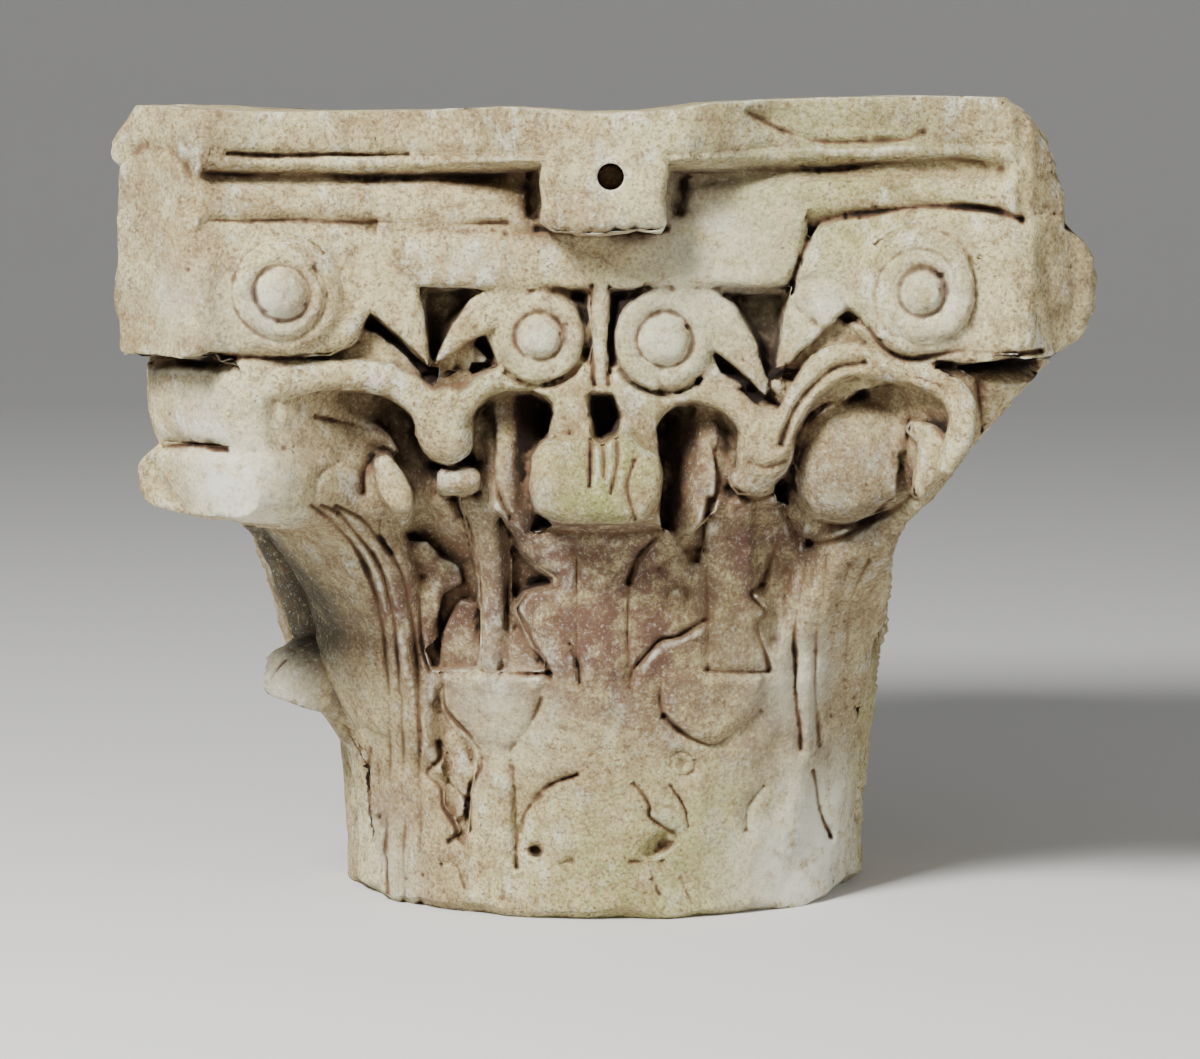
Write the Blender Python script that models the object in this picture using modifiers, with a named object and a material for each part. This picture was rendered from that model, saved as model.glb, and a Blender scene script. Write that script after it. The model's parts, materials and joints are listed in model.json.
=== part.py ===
"""Marble column capital of the Corinthian order, carved from one block and much worn.

Metres, +Z up. The origin is the centre of the round bed that sits on the shaft, and the best kept
face looks along -Y. Azimuths are counted from that face towards +X.
"""

import math

import bmesh
import bpy
import numpy as np
from mathutils import Matrix, Vector

# Whole block
HEIGHT = 0.500
BED_RADIUS = 0.150
LIP_RADIUS = 0.237
LIP_DEPTH = 0.034
LIP_STEP = 0.014
BELL_FLARE = 4.0

# Abacus
ABACUS_DEPTH = 0.070
ABACUS_MID = 0.250
HORN_ALONG = 0.294
HORN_ACROSS = 0.235
TOP_BAND = 0.029
FILLET = 0.010
GROOVE_WIDTH = 0.005
GROOVE_INSET = 0.013
FILLET_INSET = 0.004
COVE_INSET = 0.011
PLAIN_HORN = 0.010
HORN_FADE = 0.008
FLEURON_WIDTH = 0.073
FLEURON_PROUD = 0.034
FLEURON_DROP = 0.005
FLEURON_ROUND = 0.008
DOWEL_HOLE = 0.0155
DOWEL_DEPTH = 0.045
DOWEL_DROP = 0.041

# Scrolls under the abacus
FACE_INSET = 0.012
VOLUTE_OUT = 0.192
VOLUTE_RADIUS = 0.041
VOLUTE_EYE = 0.016
VOLUTE_LIFT = 0.003
HELIX_OUT = 0.040
HELIX_RADIUS = 0.0285
HELIX_EYE = 0.012
SCROLL_THICK = 0.055
SPRING_OUT = 0.100
SPRING_DROP = 0.158
BAR_WIDTH = 0.012
BAR_LENGTH = 0.062

# Stalks and the sheath leaves that spring from them
STALK_AZIMUTH = math.radians(22.5)
STALK_FOOT = 0.145
STALK_FOOT_REACH = 0.188
STALK_RADIUS = 0.011
COLLAR_LEVEL = 0.278
COLLAR_REACH = 0.233
COLLAR_RADIUS = 0.018
CUP_RADIUS = 0.023
SHEATH_EDGE = 0.0085
SHEATH_DEPTH = 0.036

# Leaves
LOW_LEAF_TOP = 0.156
LOW_LEAF_WIDTH = 0.088
LOW_LEAF_FOOT = 0.170
LOW_LEAF_REACH = 0.192
HIGH_LEAF_TOP = 0.262
HIGH_LEAF_WIDTH = 0.132
HIGH_LEAF_FOOT = 0.167
HIGH_LEAF_REACH = 0.212
HIGH_LEAF_CURL = 0.040
LOBE_PITCH = 0.043
RIB_WIDTH = 0.030
RIB_RISE = 0.005
RIB_GROOVE = 0.005
MOAT = 0.007
TIP_WIDTH = 0.080
TIP_REACH = 0.256
CORNER_TIP_WIDTH = 0.116
CORNER_TIP_REACH = 0.320

# State of the block, by azimuth in degrees: what is kept, what is worn or broken away
KEPT_LOW_TIPS = (-67.5, 157.5, -157.5)
KEPT_CORNER_TIPS = (-45, 135, -135)
BROKEN_CORNER_TIPS = (45,)
KEPT_FACE_TIPS = (0, -90, 180)
KEPT_SHEATH_TIPS = (0, -90, 180)
WORN_LEAF = 90
LEAF_WEAR = 0.017
HORN_BREAKS = ((45, 0.040, 0.052), (-45, 0.021, 0.027), (135, 0.016, 0.030))

# Fineness of the solid
GRAIN = 0.0042
BED_SPARE = 0.012
TRIANGLES = 7600
RING_SIDES = 12
PATH_STEPS = 6
BELL_SIDES = 180
BELL_STEP = 0.005

ABACUS_BASE = HEIGHT - ABACUS_DEPTH
LIP_BASE = ABACUS_BASE - LIP_DEPTH
SPRING_LEVEL = HEIGHT - SPRING_DROP
QUARTERS = (0, 90, 180, 270)


def polar(azimuth, reach, level):
    """Point at an azimuth from the front, a distance from the axis and a height."""
    return Vector((reach * math.sin(azimuth), -reach * math.cos(azimuth), level))


def bell_radius(level):
    """Radius of the bell, which flares towards its lip."""
    share = np.clip(level / LIP_BASE, 0.0, 1.0)
    return BED_RADIUS + (LIP_RADIUS - LIP_STEP - BED_RADIUS) * share ** BELL_FLARE


def side_depth(across):
    """Distance from the axis to the hollow side of the abacus, at a distance across the face."""
    sag = HORN_ALONG - ABACUS_MID
    return ABACUS_MID + sag * (across / HORN_ACROSS) ** 2


def face_point(across, level, proud=0.0):
    """Point of the hollow sheet on which the scrolls lie, parallel to the side of the abacus."""
    return Vector((across, FACE_INSET - side_depth(across) - proud, level))


def smooth_keys(keys, steps):
    """Catmull-Rom curve through the keys, which may hold more values than a position."""
    rows = [Vector(key) for key in keys]
    rows = [2 * rows[0] - rows[1]] + rows + [2 * rows[-1] - rows[-2]]
    curve = []
    for a, b, c, d in zip(rows, rows[1:], rows[2:], rows[3:]):
        for step in range(steps):
            t = step / steps
            bend = (2 * a - 5 * b + 4 * c - d) * t * t + (3 * b - a - 3 * c + d) * t ** 3
            curve.append(0.5 * (2 * b + (c - a) * t + bend))
    curve.append(rows[-2])
    return curve


def add_loft(stone, keys, side_at, steps=PATH_STEPS):
    """Closed form through rounded sections. A key is x, y, z, half width, half depth."""
    path = smooth_keys(keys, steps)
    spots = [Vector(key[:3]) for key in path]
    rings = []
    for n, spot in enumerate(spots):
        along = (spots[min(n + 1, len(spots) - 1)] - spots[max(n - 1, 0)]).normalized()
        side = side_at(spot)
        side = (side - along * side.dot(along)).normalized()
        deep = along.cross(side)
        ring = []
        for i in range(RING_SIDES):
            turn = 2 * math.pi * i / RING_SIDES
            offset = side * path[n][3] * math.cos(turn) + deep * path[n][4] * math.sin(turn)
            ring.append(stone.verts.new(spot + offset))
        rings.append(ring)
    for lower, upper in zip(rings, rings[1:]):
        for i in range(RING_SIDES):
            stone.faces.new((lower[i - 1], lower[i], upper[i], upper[i - 1]))
    stone.faces.new(list(reversed(rings[0])))
    stone.faces.new(rings[-1])


def add_copies(stone, form, azimuths, mirrored=False):
    """Copies of a form around the axis, with their mirror images where it has a left and a right."""
    for azimuth in azimuths:
        turn = Matrix.Rotation(math.radians(azimuth), 4, "Z")
        for flip in ((1, -1) if mirrored else (1,)):
            copy = form.copy()
            bmesh.ops.transform(copy, matrix=turn @ Matrix.Diagonal((flip, 1, 1, 1)), verts=copy.verts)
            if flip < 0:
                bmesh.ops.reverse_faces(copy, faces=copy.faces)
            mesh = bpy.data.meshes.new("copy")
            copy.to_mesh(mesh)
            copy.free()
            stone.from_mesh(mesh)
            bpy.data.meshes.remove(mesh)


def take_mesh(stone, maker):
    """Adds what a scene object evaluates to, and removes that object."""
    depsgraph = bpy.context.evaluated_depsgraph_get()
    mesh = bpy.data.meshes.new_from_object(maker.evaluated_get(depsgraph))
    mesh.transform(maker.matrix_world)
    form = bmesh.new()
    form.from_mesh(mesh)
    bmesh.ops.remove_doubles(form, verts=form.verts, dist=0.00005)
    form.to_mesh(mesh)
    form.free()
    stone.from_mesh(mesh)
    bpy.data.meshes.remove(mesh)
    bpy.data.objects.remove(maker)


def low_reach(level):
    """Distance from the axis to the front of a lower leaf."""
    share = np.clip(level / LOW_LEAF_TOP, 0.0, 1.0)
    return LOW_LEAF_FOOT + (LOW_LEAF_REACH - LOW_LEAF_FOOT) * share ** 2


def high_reach(level):
    """Distance from the axis to the front of an upper leaf, which curls out at its top."""
    share = np.clip(level / HIGH_LEAF_TOP, 0.0, 1.0)
    curl = HIGH_LEAF_CURL * np.clip((share - 0.5) * 2, 0.0, 1.0) ** 3
    return HIGH_LEAF_FOOT + (HIGH_LEAF_REACH - HIGH_LEAF_FOOT) * share + curl


def leaf_half(far, level, top, width):
    """Half width of a leaf, scalloped into lobes that rise away from the midrib."""
    share = np.clip(level / top, 0.0, 1.0)
    wave = np.abs(np.sin(np.pi * (level - 0.55 * far) / LOBE_PITCH))
    return width / 2 * (0.78 + 0.26 * np.sin(np.pi * share)) * (0.74 + 0.26 * wave), wave


def leaf_rise(across, level, top, width, rise):
    """Height over the bell of one acanthus leaf: scalloped lobes, drilled eyes and a fluted rib."""
    far = np.abs(across)
    half, wave = leaf_half(far, level, top, width)
    edge = np.clip((half - far) / 0.006, 0.0, 1.0)
    blade = rise * (1.0 - 0.30 * (far / width * 2) ** 2) * edge - 0.006 * (1.0 - wave) * edge
    eye = np.exp(-(((far - 0.30 * width) / 0.007) ** 2) - ((wave / 0.40) ** 2))
    rib_half = RIB_WIDTH / 2
    rib = RIB_RISE * np.clip((rib_half - far) / 0.004, 0.0, 1.0)
    groove = RIB_GROOVE * np.exp(-(((far - rib_half * 0.5) / 0.003) ** 2))
    height = blade - 0.012 * eye + rib - groove * (rib > 0)
    return np.where((level <= top) & (half > far), np.maximum(height, 0.0), 0.0), half - far


def leaf_relief(azimuth, radius, level):
    """Height of the two rows of leaves over the bell. A moat sets off the lower leaves."""
    low = np.zeros(len(level))
    high = np.zeros(len(level))
    clear = np.full(len(level), MOAT)
    bell = bell_radius(level)
    for step in range(16):
        turn = (azimuth - math.radians(22.5 * step) + math.pi) % (2 * math.pi) - math.pi
        if step % 2:
            rise = low_reach(level) - bell
            leaf, inside = leaf_rise(turn * radius, level, LOW_LEAF_TOP, LOW_LEAF_WIDTH, rise)
            low = np.maximum(low, leaf)
            clear = np.minimum(clear, np.where(level <= LOW_LEAF_TOP, -inside, MOAT))
        else:
            wear = LEAF_WEAR if 22.5 * step == WORN_LEAF else 0.0
            rise = high_reach(level) - wear - bell
            leaf, inside = leaf_rise(turn * radius, level, HIGH_LEAF_TOP, HIGH_LEAF_WIDTH, rise)
            high = np.maximum(high, leaf)
    high = high * (0.35 + 0.65 * np.clip(clear / MOAT, 0.0, 1.0))
    return np.maximum(low, high)


def carve_bell(stone):
    """Turned bell with its lip, then the two rows of leaves raised out of it."""
    inner = LIP_RADIUS - LIP_STEP
    profile = [(0.0, HEIGHT - ABACUS_DEPTH / 2), (inner, HEIGHT - ABACUS_DEPTH / 2), (inner, ABACUS_BASE)]
    profile.append((LIP_RADIUS, ABACUS_BASE - LIP_DEPTH * 0.25))
    profile.append((LIP_RADIUS, ABACUS_BASE - LIP_DEPTH * 0.75))
    profile.append((LIP_RADIUS - LIP_STEP * 0.5, LIP_BASE))
    levels = np.arange(LIP_BASE - LIP_STEP, 0.0, -BELL_STEP)
    profile += [(float(bell_radius(level)), float(level)) for level in levels]
    profile += [(BED_RADIUS, 0.0), (BED_RADIUS, -BED_SPARE), (0.0, -BED_SPARE)]
    mesh = bpy.data.meshes.new("bell profile")
    mesh.from_pydata([(r, 0.0, z) for r, z in profile], [(i, i + 1) for i in range(len(profile) - 1)], [])
    bell = bpy.data.objects.new("bell profile", mesh)
    bpy.context.scene.collection.objects.link(bell)
    screw = bell.modifiers.new("turn", "SCREW")
    screw.steps = BELL_SIDES
    screw.render_steps = BELL_SIDES
    screw.use_merge_vertices = True
    screw.merge_threshold = 0.0001
    form = bmesh.new()
    take_mesh(form, bell)
    spots = np.array([vertex.co[:] for vertex in form.verts])
    radius = np.hypot(spots[:, 0], spots[:, 1])
    azimuth = np.arctan2(spots[:, 0], -spots[:, 1])
    rise = leaf_relief(azimuth, radius, np.maximum(spots[:, 2], 0.0))
    carved = (radius > BED_RADIUS * 0.99) & (spots[:, 2] < LIP_BASE - LIP_STEP / 2)
    for vertex, r, out in zip(form.verts, radius, np.where(carved, rise, 0.0)):
        if out > 0:
            vertex.co.x *= 1 + out / r
            vertex.co.y *= 1 + out / r
    add_copies(stone, form, (0,))
    form.free()


def carve_abacus():
    """Hollow-sided abacus: a moulded edge that dies into plain horns."""
    fillet_top = HEIGHT - TOP_BAND - GROOVE_WIDTH
    cove_top = fillet_top - FILLET - GROOVE_WIDTH
    rows = (
        (ABACUS_BASE, COVE_INSET),
        (cove_top, FILLET_INSET),
        (cove_top + GROOVE_WIDTH * 0.3, GROOVE_INSET),
        (fillet_top - FILLET, GROOVE_INSET),
        (fillet_top - FILLET, FILLET_INSET),
        (fillet_top, FILLET_INSET),
        (fillet_top, GROOVE_INSET),
        (HEIGHT - TOP_BAND - GROOVE_WIDTH * 0.3, GROOVE_INSET),
        (HEIGHT - TOP_BAND, 0.0),
        (HEIGHT, 0.0),
    )
    plain_from = HORN_ACROSS - PLAIN_HORN
    half_side = [0.0, FLEURON_WIDTH / 2, plain_from / 2, plain_from * 0.75, plain_from - HORN_FADE]
    half_side += [plain_from, HORN_ACROSS]
    side = [-across for across in reversed(half_side[1:])] + half_side
    form = bmesh.new()
    rings = []
    for level, inset in rows:
        ring = []
        for quarter in QUARTERS:
            turn = Matrix.Rotation(math.radians(quarter), 3, "Z")
            for across in side:
                fade = min(max((plain_from - abs(across)) / HORN_FADE, 0.0), 1.0)
                spot = Vector((across, inset * fade - side_depth(across), level))
                ring.append(form.verts.new(turn @ spot))
        rings.append(ring)
    for lower, upper in zip(rings, rings[1:]):
        for i in range(len(lower)):
            form.faces.new((lower[i - 1], lower[i], upper[i], upper[i - 1]))
    form.faces.new(list(reversed(rings[0])))
    form.faces.new(rings[-1])
    bmesh.ops.remove_doubles(form, verts=form.verts, dist=0.00001)
    return form


def carve_fleuron():
    """Plain worn block in the middle of a side of the abacus."""
    form = bmesh.new()
    depth = FLEURON_PROUD + GROOVE_INSET + FLEURON_ROUND
    tall = ABACUS_DEPTH + FLEURON_DROP
    centre = Vector((0, -ABACUS_MID - FLEURON_PROUD + depth / 2, HEIGHT - 0.002 - tall / 2))
    size = Matrix.Diagonal((FLEURON_WIDTH, depth, tall, 1))
    bmesh.ops.create_cube(form, matrix=Matrix.Translation(centre) @ size)
    front = [edge for edge in form.edges if all(v.co.y < centre.y for v in edge.verts)]
    bmesh.ops.bevel(form, geom=front, offset=FLEURON_ROUND, segments=2, profile=0.5, affect="EDGES")
    return form


def outward(spot):
    """Level direction away from the axis."""
    return Vector((spot.x, spot.y, 0.0)).normalized()


def add_scroll(form, out, level, radius, eye, spring, rolls, handed):
    """Spiral band with its stem, the drum behind it and a domed eye, on the hollow sheet of the face."""
    band = (radius - eye) / (2 * rolls + 0.6)
    start_radius = radius - band
    keys = []
    stem = Vector((spring[0] - out, spring[1] - level))
    for share, swell in ((0.0, 0.35), (0.4, 1.2), (0.75, 1.7)):
        arc_x = stem.x * (1 - share) + handed * start_radius * 0.78 * share
        arc_z = stem.y * (1 - share) + start_radius * 0.62 * share
        bow = math.sin(math.pi * share) * start_radius * 0.25
        spot = face_point(out + arc_x + handed * bow * 0.5, level + arc_z + bow * 0.4)
        keys.append((*spot, band * 1.1, band * swell))
    turns = int(rolls * 12)
    for n in range(turns + 1):
        turn = math.radians(60 + 30 * n)
        reach = start_radius + (eye - start_radius) * n / turns
        spot = face_point(out + handed * reach * math.cos(turn), level + reach * math.sin(turn))
        keys.append((*spot, band * 1.2, band * (1.0 - 0.25 * n / turns)))
    add_loft(form, keys, outward, 2)
    back = face_point(out, level, -SCROLL_THICK)
    front = face_point(out, level, -band * 0.5)
    drum = (radius - band * 0.6, radius - band * 0.6)
    add_loft(form, [(*back, *drum), (*front, *drum)], lambda spot: Vector((1, 0, 0)), 1)
    dome = Matrix.Translation(face_point(out, level)) @ Matrix.Diagonal((1, 0.8, 1, 1))
    bmesh.ops.create_uvsphere(form, u_segments=12, v_segments=8, radius=eye, matrix=dome)


def carve_scrolls(stone):
    """Corner volutes, the small helices by the middle and the bar between those."""
    half = bmesh.new()
    level = ABACUS_BASE - VOLUTE_RADIUS + VOLUTE_LIFT
    helix_level = LIP_BASE - HELIX_RADIUS
    spring = (SPRING_OUT, SPRING_LEVEL)
    add_scroll(half, VOLUTE_OUT, level, VOLUTE_RADIUS, VOLUTE_EYE, spring, 1.6, -1)
    add_scroll(half, HELIX_OUT, helix_level, HELIX_RADIUS, HELIX_EYE, spring, 1.0, 1)
    add_copies(stone, half, QUARTERS, mirrored=True)
    half.free()
    corner = bmesh.new()
    diagonal = math.radians(45)
    across = Vector((math.cos(diagonal), math.sin(diagonal), 0.0))
    horn_reach = (HORN_ALONG + HORN_ACROSS) / math.sqrt(2)
    horn_half = (HORN_ALONG - HORN_ACROSS) / math.sqrt(2)
    reach = horn_reach - VOLUTE_RADIUS
    ends = []
    for share, size in ((-1.0, 0.86), (-0.8, 1.0), (0.8, 1.0), (1.0, 0.86)):
        spot = polar(diagonal, reach, level) + across * horn_half * share
        ends.append((*spot, VOLUTE_RADIUS * size, VOLUTE_RADIUS * size))
    add_loft(corner, ends, outward, 2)
    inner = polar(diagonal, LIP_RADIUS - LIP_STEP * 2, level)
    outer = polar(diagonal, reach, level)
    core = (horn_half * 0.95, VOLUTE_RADIUS * 0.9)
    add_loft(corner, [(*inner, *core), (*outer, *core)], lambda spot: across, 1)
    add_copies(stone, corner, QUARTERS)
    corner.free()
    bar = bmesh.new()
    centre = face_point(0.0, LIP_BASE - BAR_LENGTH / 2, -SCROLL_THICK / 2)
    size = Matrix.Diagonal((BAR_WIDTH, SCROLL_THICK, BAR_LENGTH, 1))
    bmesh.ops.create_cube(bar, matrix=Matrix.Translation(centre) @ size)
    add_copies(stone, bar, QUARTERS)
    bar.free()


def carve_stalks(stone):
    """Fluted stalk, its collar and cup, and the two sheath leaves that arch under the scrolls."""
    half = bmesh.new()
    collar = polar(STALK_AZIMUTH, COLLAR_REACH, COLLAR_LEVEL)
    spring = face_point(SPRING_OUT, SPRING_LEVEL)
    foot = polar(STALK_AZIMUTH, STALK_FOOT_REACH, STALK_FOOT)
    stalk = []
    for share in (0.0, 0.35, 0.7, 1.0):
        spot = foot.lerp(collar, share)
        reach = math.hypot(spot.x, spot.y) - 0.006 * math.sin(math.pi * share)
        deep = (reach - bell_radius(spot.z)) / 2 + STALK_RADIUS / 2
        spot = polar(STALK_AZIMUTH, reach - deep + STALK_RADIUS, spot.z)
        stalk.append((*spot, deep, STALK_RADIUS * (1.35 - 0.35 * share)))
    add_loft(half, stalk, outward)
    ring = []
    for lift, size in ((-0.5, 0.6), (-0.15, 1.0), (0.2, 1.0), (0.5, 0.7)):
        spot = collar + Vector((0, 0, COLLAR_RADIUS * lift))
        ring.append((*spot, COLLAR_RADIUS * size, COLLAR_RADIUS * size))
    add_loft(half, ring, outward)
    cup = [(*collar, STALK_RADIUS, STALK_RADIUS)]
    for share, size in ((0.35, 0.80), (0.70, 1.0), (1.0, 0.75)):
        spot = collar.lerp(spring, share) - outward(spring) * SHEATH_DEPTH * 0.4 * share
        cup.append((*spot, CUP_RADIUS * size + SHEATH_DEPTH * 0.4 * share, CUP_RADIUS * size))
    add_loft(half, cup, outward)
    add_sheath(half, -1, (0.018, 0.042, 0.060), (0.004, 0.002, -0.018))
    add_sheath(half, 1, (0.016, 0.050, 0.082), (0.000, 0.004, -0.001))
    add_copies(stone, half, QUARTERS, mirrored=True)
    half.free()


def add_sheath(form, handed, outs, drops):
    """One sheath leaf, from the cup along the underside of a scroll."""
    edge = SHEATH_EDGE
    deep = SHEATH_DEPTH
    keys = [(*face_point(SPRING_OUT, SPRING_LEVEL - CUP_RADIUS, -deep), deep, edge)]
    for out, drop in zip(outs, drops):
        spot = face_point(SPRING_OUT + handed * out, SPRING_LEVEL - edge + drop, -deep)
        keys.append((*spot, deep, edge * 1.25))
    if handed < 0:
        end = face_point(TIP_WIDTH * 0.30, HIGH_LEAF_TOP + TIP_WIDTH / 3, -deep)
        keys.append((*end, deep, edge * 1.2))
    add_loft(form, keys, outward)


def carve_sheath_tips(stone):
    """Turned-down tips of the outer sheath leaves, beside the corner leaves."""
    edge = SHEATH_EDGE
    keys = []
    for out, drop, size in ((-2.0, 1.0, 1.1), (0.6, 1.6, 1.2), (1.4, 4.0, 1.1), (0.6, 8.0, 0.7)):
        spot = face_point(VOLUTE_OUT + edge * out, SPRING_LEVEL - edge * drop, -SHEATH_DEPTH * 0.6)
        keys.append((*spot, SHEATH_DEPTH * 0.6 * size, edge * size))
    tip = bmesh.new()
    add_loft(tip, keys, outward)
    add_copies(stone, tip, KEPT_SHEATH_TIPS, mirrored=True)
    tip.free()


def carve_tips(stone):
    """Rolled leaf tips that are kept, and the stumps where they broke away."""
    width = LOW_LEAF_WIDTH / 2
    top = LOW_LEAF_TOP
    low = ((LOW_LEAF_FOOT, top * 0.45, 0.3, 0.016), (LOW_LEAF_REACH, top * 0.75, 0.42, 0.020),
           (LOW_LEAF_REACH + 0.016, top * 0.86, 0.50, 0.024), (LOW_LEAF_REACH + 0.020, top * 0.74, 0.45, 0.014))
    stump = ((LOW_LEAF_FOOT - 0.01, top * 0.50, 0.32, 0.014), (LOW_LEAF_REACH - 0.014, top * 0.82, 0.55, 0.014),
             (LOW_LEAF_REACH - 0.010, top, 0.66, 0.014))
    place_strip(stone, low, width, KEPT_LOW_TIPS)
    place_strip(stone, stump, width, [22.5 + 45 * n for n in range(8)])
    top = HIGH_LEAF_TOP
    foot = float(high_reach(top * 0.75))
    face = ((foot - 0.020, top * 0.80, 0.80, 0.016), (TIP_REACH - 0.034, top * 0.96, 0.95, 0.024),
            (TIP_REACH - 0.012, top + 0.016, 1.0, 0.026), (TIP_REACH - 0.004, top + 0.034, 1.0, 0.022),
            (TIP_REACH - 0.020, top + 0.048, 0.85, 0.014))
    place_strip(stone, face, TIP_WIDTH / 2, KEPT_FACE_TIPS)
    reach = CORNER_TIP_REACH
    under = SPRING_LEVEL + SHEATH_EDGE
    body = ((foot - 0.018, top * 0.66, 0.70, 0.018), (foot + 0.006, top * 0.86, 0.78, 0.024),
            (reach * 0.80, top + 0.006, 0.90, 0.030))
    kept = body + ((reach, top + 0.018, 1.0, 0.026), (reach + 0.024, top + 0.012, 0.95, 0.020))
    strut = ((reach * 0.84, top + 0.020, 0.80, 0.050), (reach * 0.97, under, 0.85, 0.052))
    broken = body[:2] + ((reach * 0.78, top + 0.008, 0.62, 0.036), (reach * 0.92, under - 0.02, 0.66, 0.044),
                         (reach * 0.98, under + 0.01, 0.70, 0.046))
    place_strip(stone, kept, CORNER_TIP_WIDTH / 2, KEPT_CORNER_TIPS)
    place_strip(stone, strut, CORNER_TIP_WIDTH / 2, KEPT_CORNER_TIPS)
    place_strip(stone, broken, CORNER_TIP_WIDTH / 2, BROKEN_CORNER_TIPS)


def place_strip(stone, rows, half_width, azimuths):
    """Leaf strips in the plane of their midribs. A row is reach, level, share of the width, half depth."""
    form = bmesh.new()
    keys = [(0.0, -reach, level, half_width * share, depth) for reach, level, share, depth in rows]
    add_loft(form, keys, lambda spot: Vector((1, 0, 0)))
    add_copies(stone, form, azimuths)
    form.free()


def hidden_object(name, form, collection):
    """Object that only takes part in a cut or a union."""
    mesh = bpy.data.meshes.new(name)
    form.to_mesh(mesh)
    form.free()
    helper = bpy.data.objects.new(name, mesh)
    helper.hide_render = True
    helper.display_type = "WIRE"
    collection.objects.link(helper)
    return helper


def box(size):
    """Box about the origin."""
    form = bmesh.new()
    bmesh.ops.create_cube(form, matrix=Matrix.Diagonal((*size, 1)))
    return form


def marble():
    """Weathered cream marble."""
    material = bpy.data.materials.new("marble")
    material.use_nodes = True
    shader = material.node_tree.nodes["Principled BSDF"]
    shader.inputs["Base Color"].default_value = (0.56, 0.48, 0.36, 1.0)
    shader.inputs["Roughness"].default_value = 0.75
    shader.inputs["Metallic"].default_value = 0.0
    return material


def build():
    """The whole capital, one closed block."""
    for old in list(bpy.data.objects):
        bpy.data.objects.remove(old)
    parts = bpy.data.collections.new("column capital")
    cutters = bpy.data.collections.new("cutters")
    bpy.context.scene.collection.children.link(parts)
    bpy.context.scene.collection.children.link(cutters)

    stone = bmesh.new()
    carve_bell(stone)
    carve_scrolls(stone)
    carve_stalks(stone)
    carve_sheath_tips(stone)
    carve_tips(stone)
    shapes = bpy.data.meshes.new("shapes")
    stone.to_mesh(shapes)
    stone.free()
    rough = bpy.data.objects.new("rough block", shapes)
    bpy.context.scene.collection.objects.link(rough)
    remesh = rough.modifiers.new("one block", "REMESH")
    remesh.mode = "VOXEL"
    remesh.voxel_size = GRAIN
    bpy.context.view_layer.update()
    depsgraph = bpy.context.evaluated_depsgraph_get()
    mesh = bpy.data.meshes.new_from_object(rough.evaluated_get(depsgraph))
    mesh.name = "capital"
    bpy.data.objects.remove(rough)
    capital = bpy.data.objects.new("capital", mesh)
    mesh.materials.append(marble())
    mesh.shade_smooth()
    parts.objects.link(capital)
    decimate = capital.modifiers.new("facets", "DECIMATE")
    decimate.ratio = min(1.0, TRIANGLES / (2 * len(mesh.polygons)))
    decimate.use_collapse_triangulate = True

    joined = [hidden_object("abacus", carve_abacus(), cutters)]
    for quarter in QUARTERS:
        fleuron = hidden_object("fleuron", carve_fleuron(), cutters)
        fleuron.rotation_euler.z = math.radians(quarter)
        joined.append(fleuron)
    wide = HORN_ALONG * 4
    bed = hidden_object("bed trim", box((wide, wide, wide)), cutters)
    bed.location.z = -wide / 2
    hole = bmesh.new()
    bmesh.ops.create_cone(hole, cap_ends=True, segments=16, radius1=DOWEL_HOLE / 2, radius2=DOWEL_HOLE / 2,
                          depth=DOWEL_DEPTH * 2)
    dowel = hidden_object("dowel hole", hole, cutters)
    dowel.location = (0.0, -ABACUS_MID - FLEURON_PROUD, HEIGHT - DOWEL_DROP)
    dowel.rotation_euler.x = math.radians(90)
    breaks = []
    for azimuth, back, drop in HORN_BREAKS:
        slope = math.atan2(drop, back)
        chip = hidden_object("broken horn", box((wide, wide, wide)), cutters)
        horn = (HORN_ALONG + HORN_ACROSS) / math.sqrt(2)
        turn = Matrix.Rotation(math.radians(azimuth), 4, "Z") @ Matrix.Rotation(slope, 4, "X")
        lift = turn @ Vector((0, 0, wide / 2))
        chip.matrix_world = Matrix.Translation(polar(math.radians(azimuth), horn - back, HEIGHT) + lift) @ turn
        breaks.append(chip)
    for helper in joined + [bed, dowel] + breaks:
        change = capital.modifiers.new(helper.name, "BOOLEAN")
        change.operation = "UNION" if helper in joined else "DIFFERENCE"
        change.object = helper
    bpy.context.view_layer.update()


build()
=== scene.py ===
import json
import math

import bmesh
import bpy
import numpy as np
from mathutils import Matrix, Vector
from mathutils.bvhtree import BVHTree
from mathutils.kdtree import KDTree

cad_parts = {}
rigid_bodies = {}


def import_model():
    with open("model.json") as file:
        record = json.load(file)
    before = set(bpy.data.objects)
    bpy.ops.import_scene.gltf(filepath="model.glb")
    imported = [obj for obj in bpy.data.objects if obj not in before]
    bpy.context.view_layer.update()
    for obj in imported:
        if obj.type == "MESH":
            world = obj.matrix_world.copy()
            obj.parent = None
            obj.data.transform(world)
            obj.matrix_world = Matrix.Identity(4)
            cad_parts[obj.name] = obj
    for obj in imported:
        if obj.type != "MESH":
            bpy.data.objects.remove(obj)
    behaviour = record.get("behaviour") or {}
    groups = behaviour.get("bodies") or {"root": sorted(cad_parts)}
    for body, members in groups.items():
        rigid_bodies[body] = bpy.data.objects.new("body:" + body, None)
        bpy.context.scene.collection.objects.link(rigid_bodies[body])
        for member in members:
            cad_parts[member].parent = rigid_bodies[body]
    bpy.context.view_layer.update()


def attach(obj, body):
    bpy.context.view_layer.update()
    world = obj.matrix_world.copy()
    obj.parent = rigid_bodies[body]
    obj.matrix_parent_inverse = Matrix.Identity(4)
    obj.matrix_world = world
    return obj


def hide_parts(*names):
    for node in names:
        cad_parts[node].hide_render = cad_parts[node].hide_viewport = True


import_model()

# The core of the block: a round drum that flares under a hollow-sided slab, roughed out of one piece
# of marble. All the carving is left standing on it, so it shows only at the bottom of deep hollows.
HEIGHT = 0.500
BED_RADIUS = 0.150
LIP_LEVEL = 0.396
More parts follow.
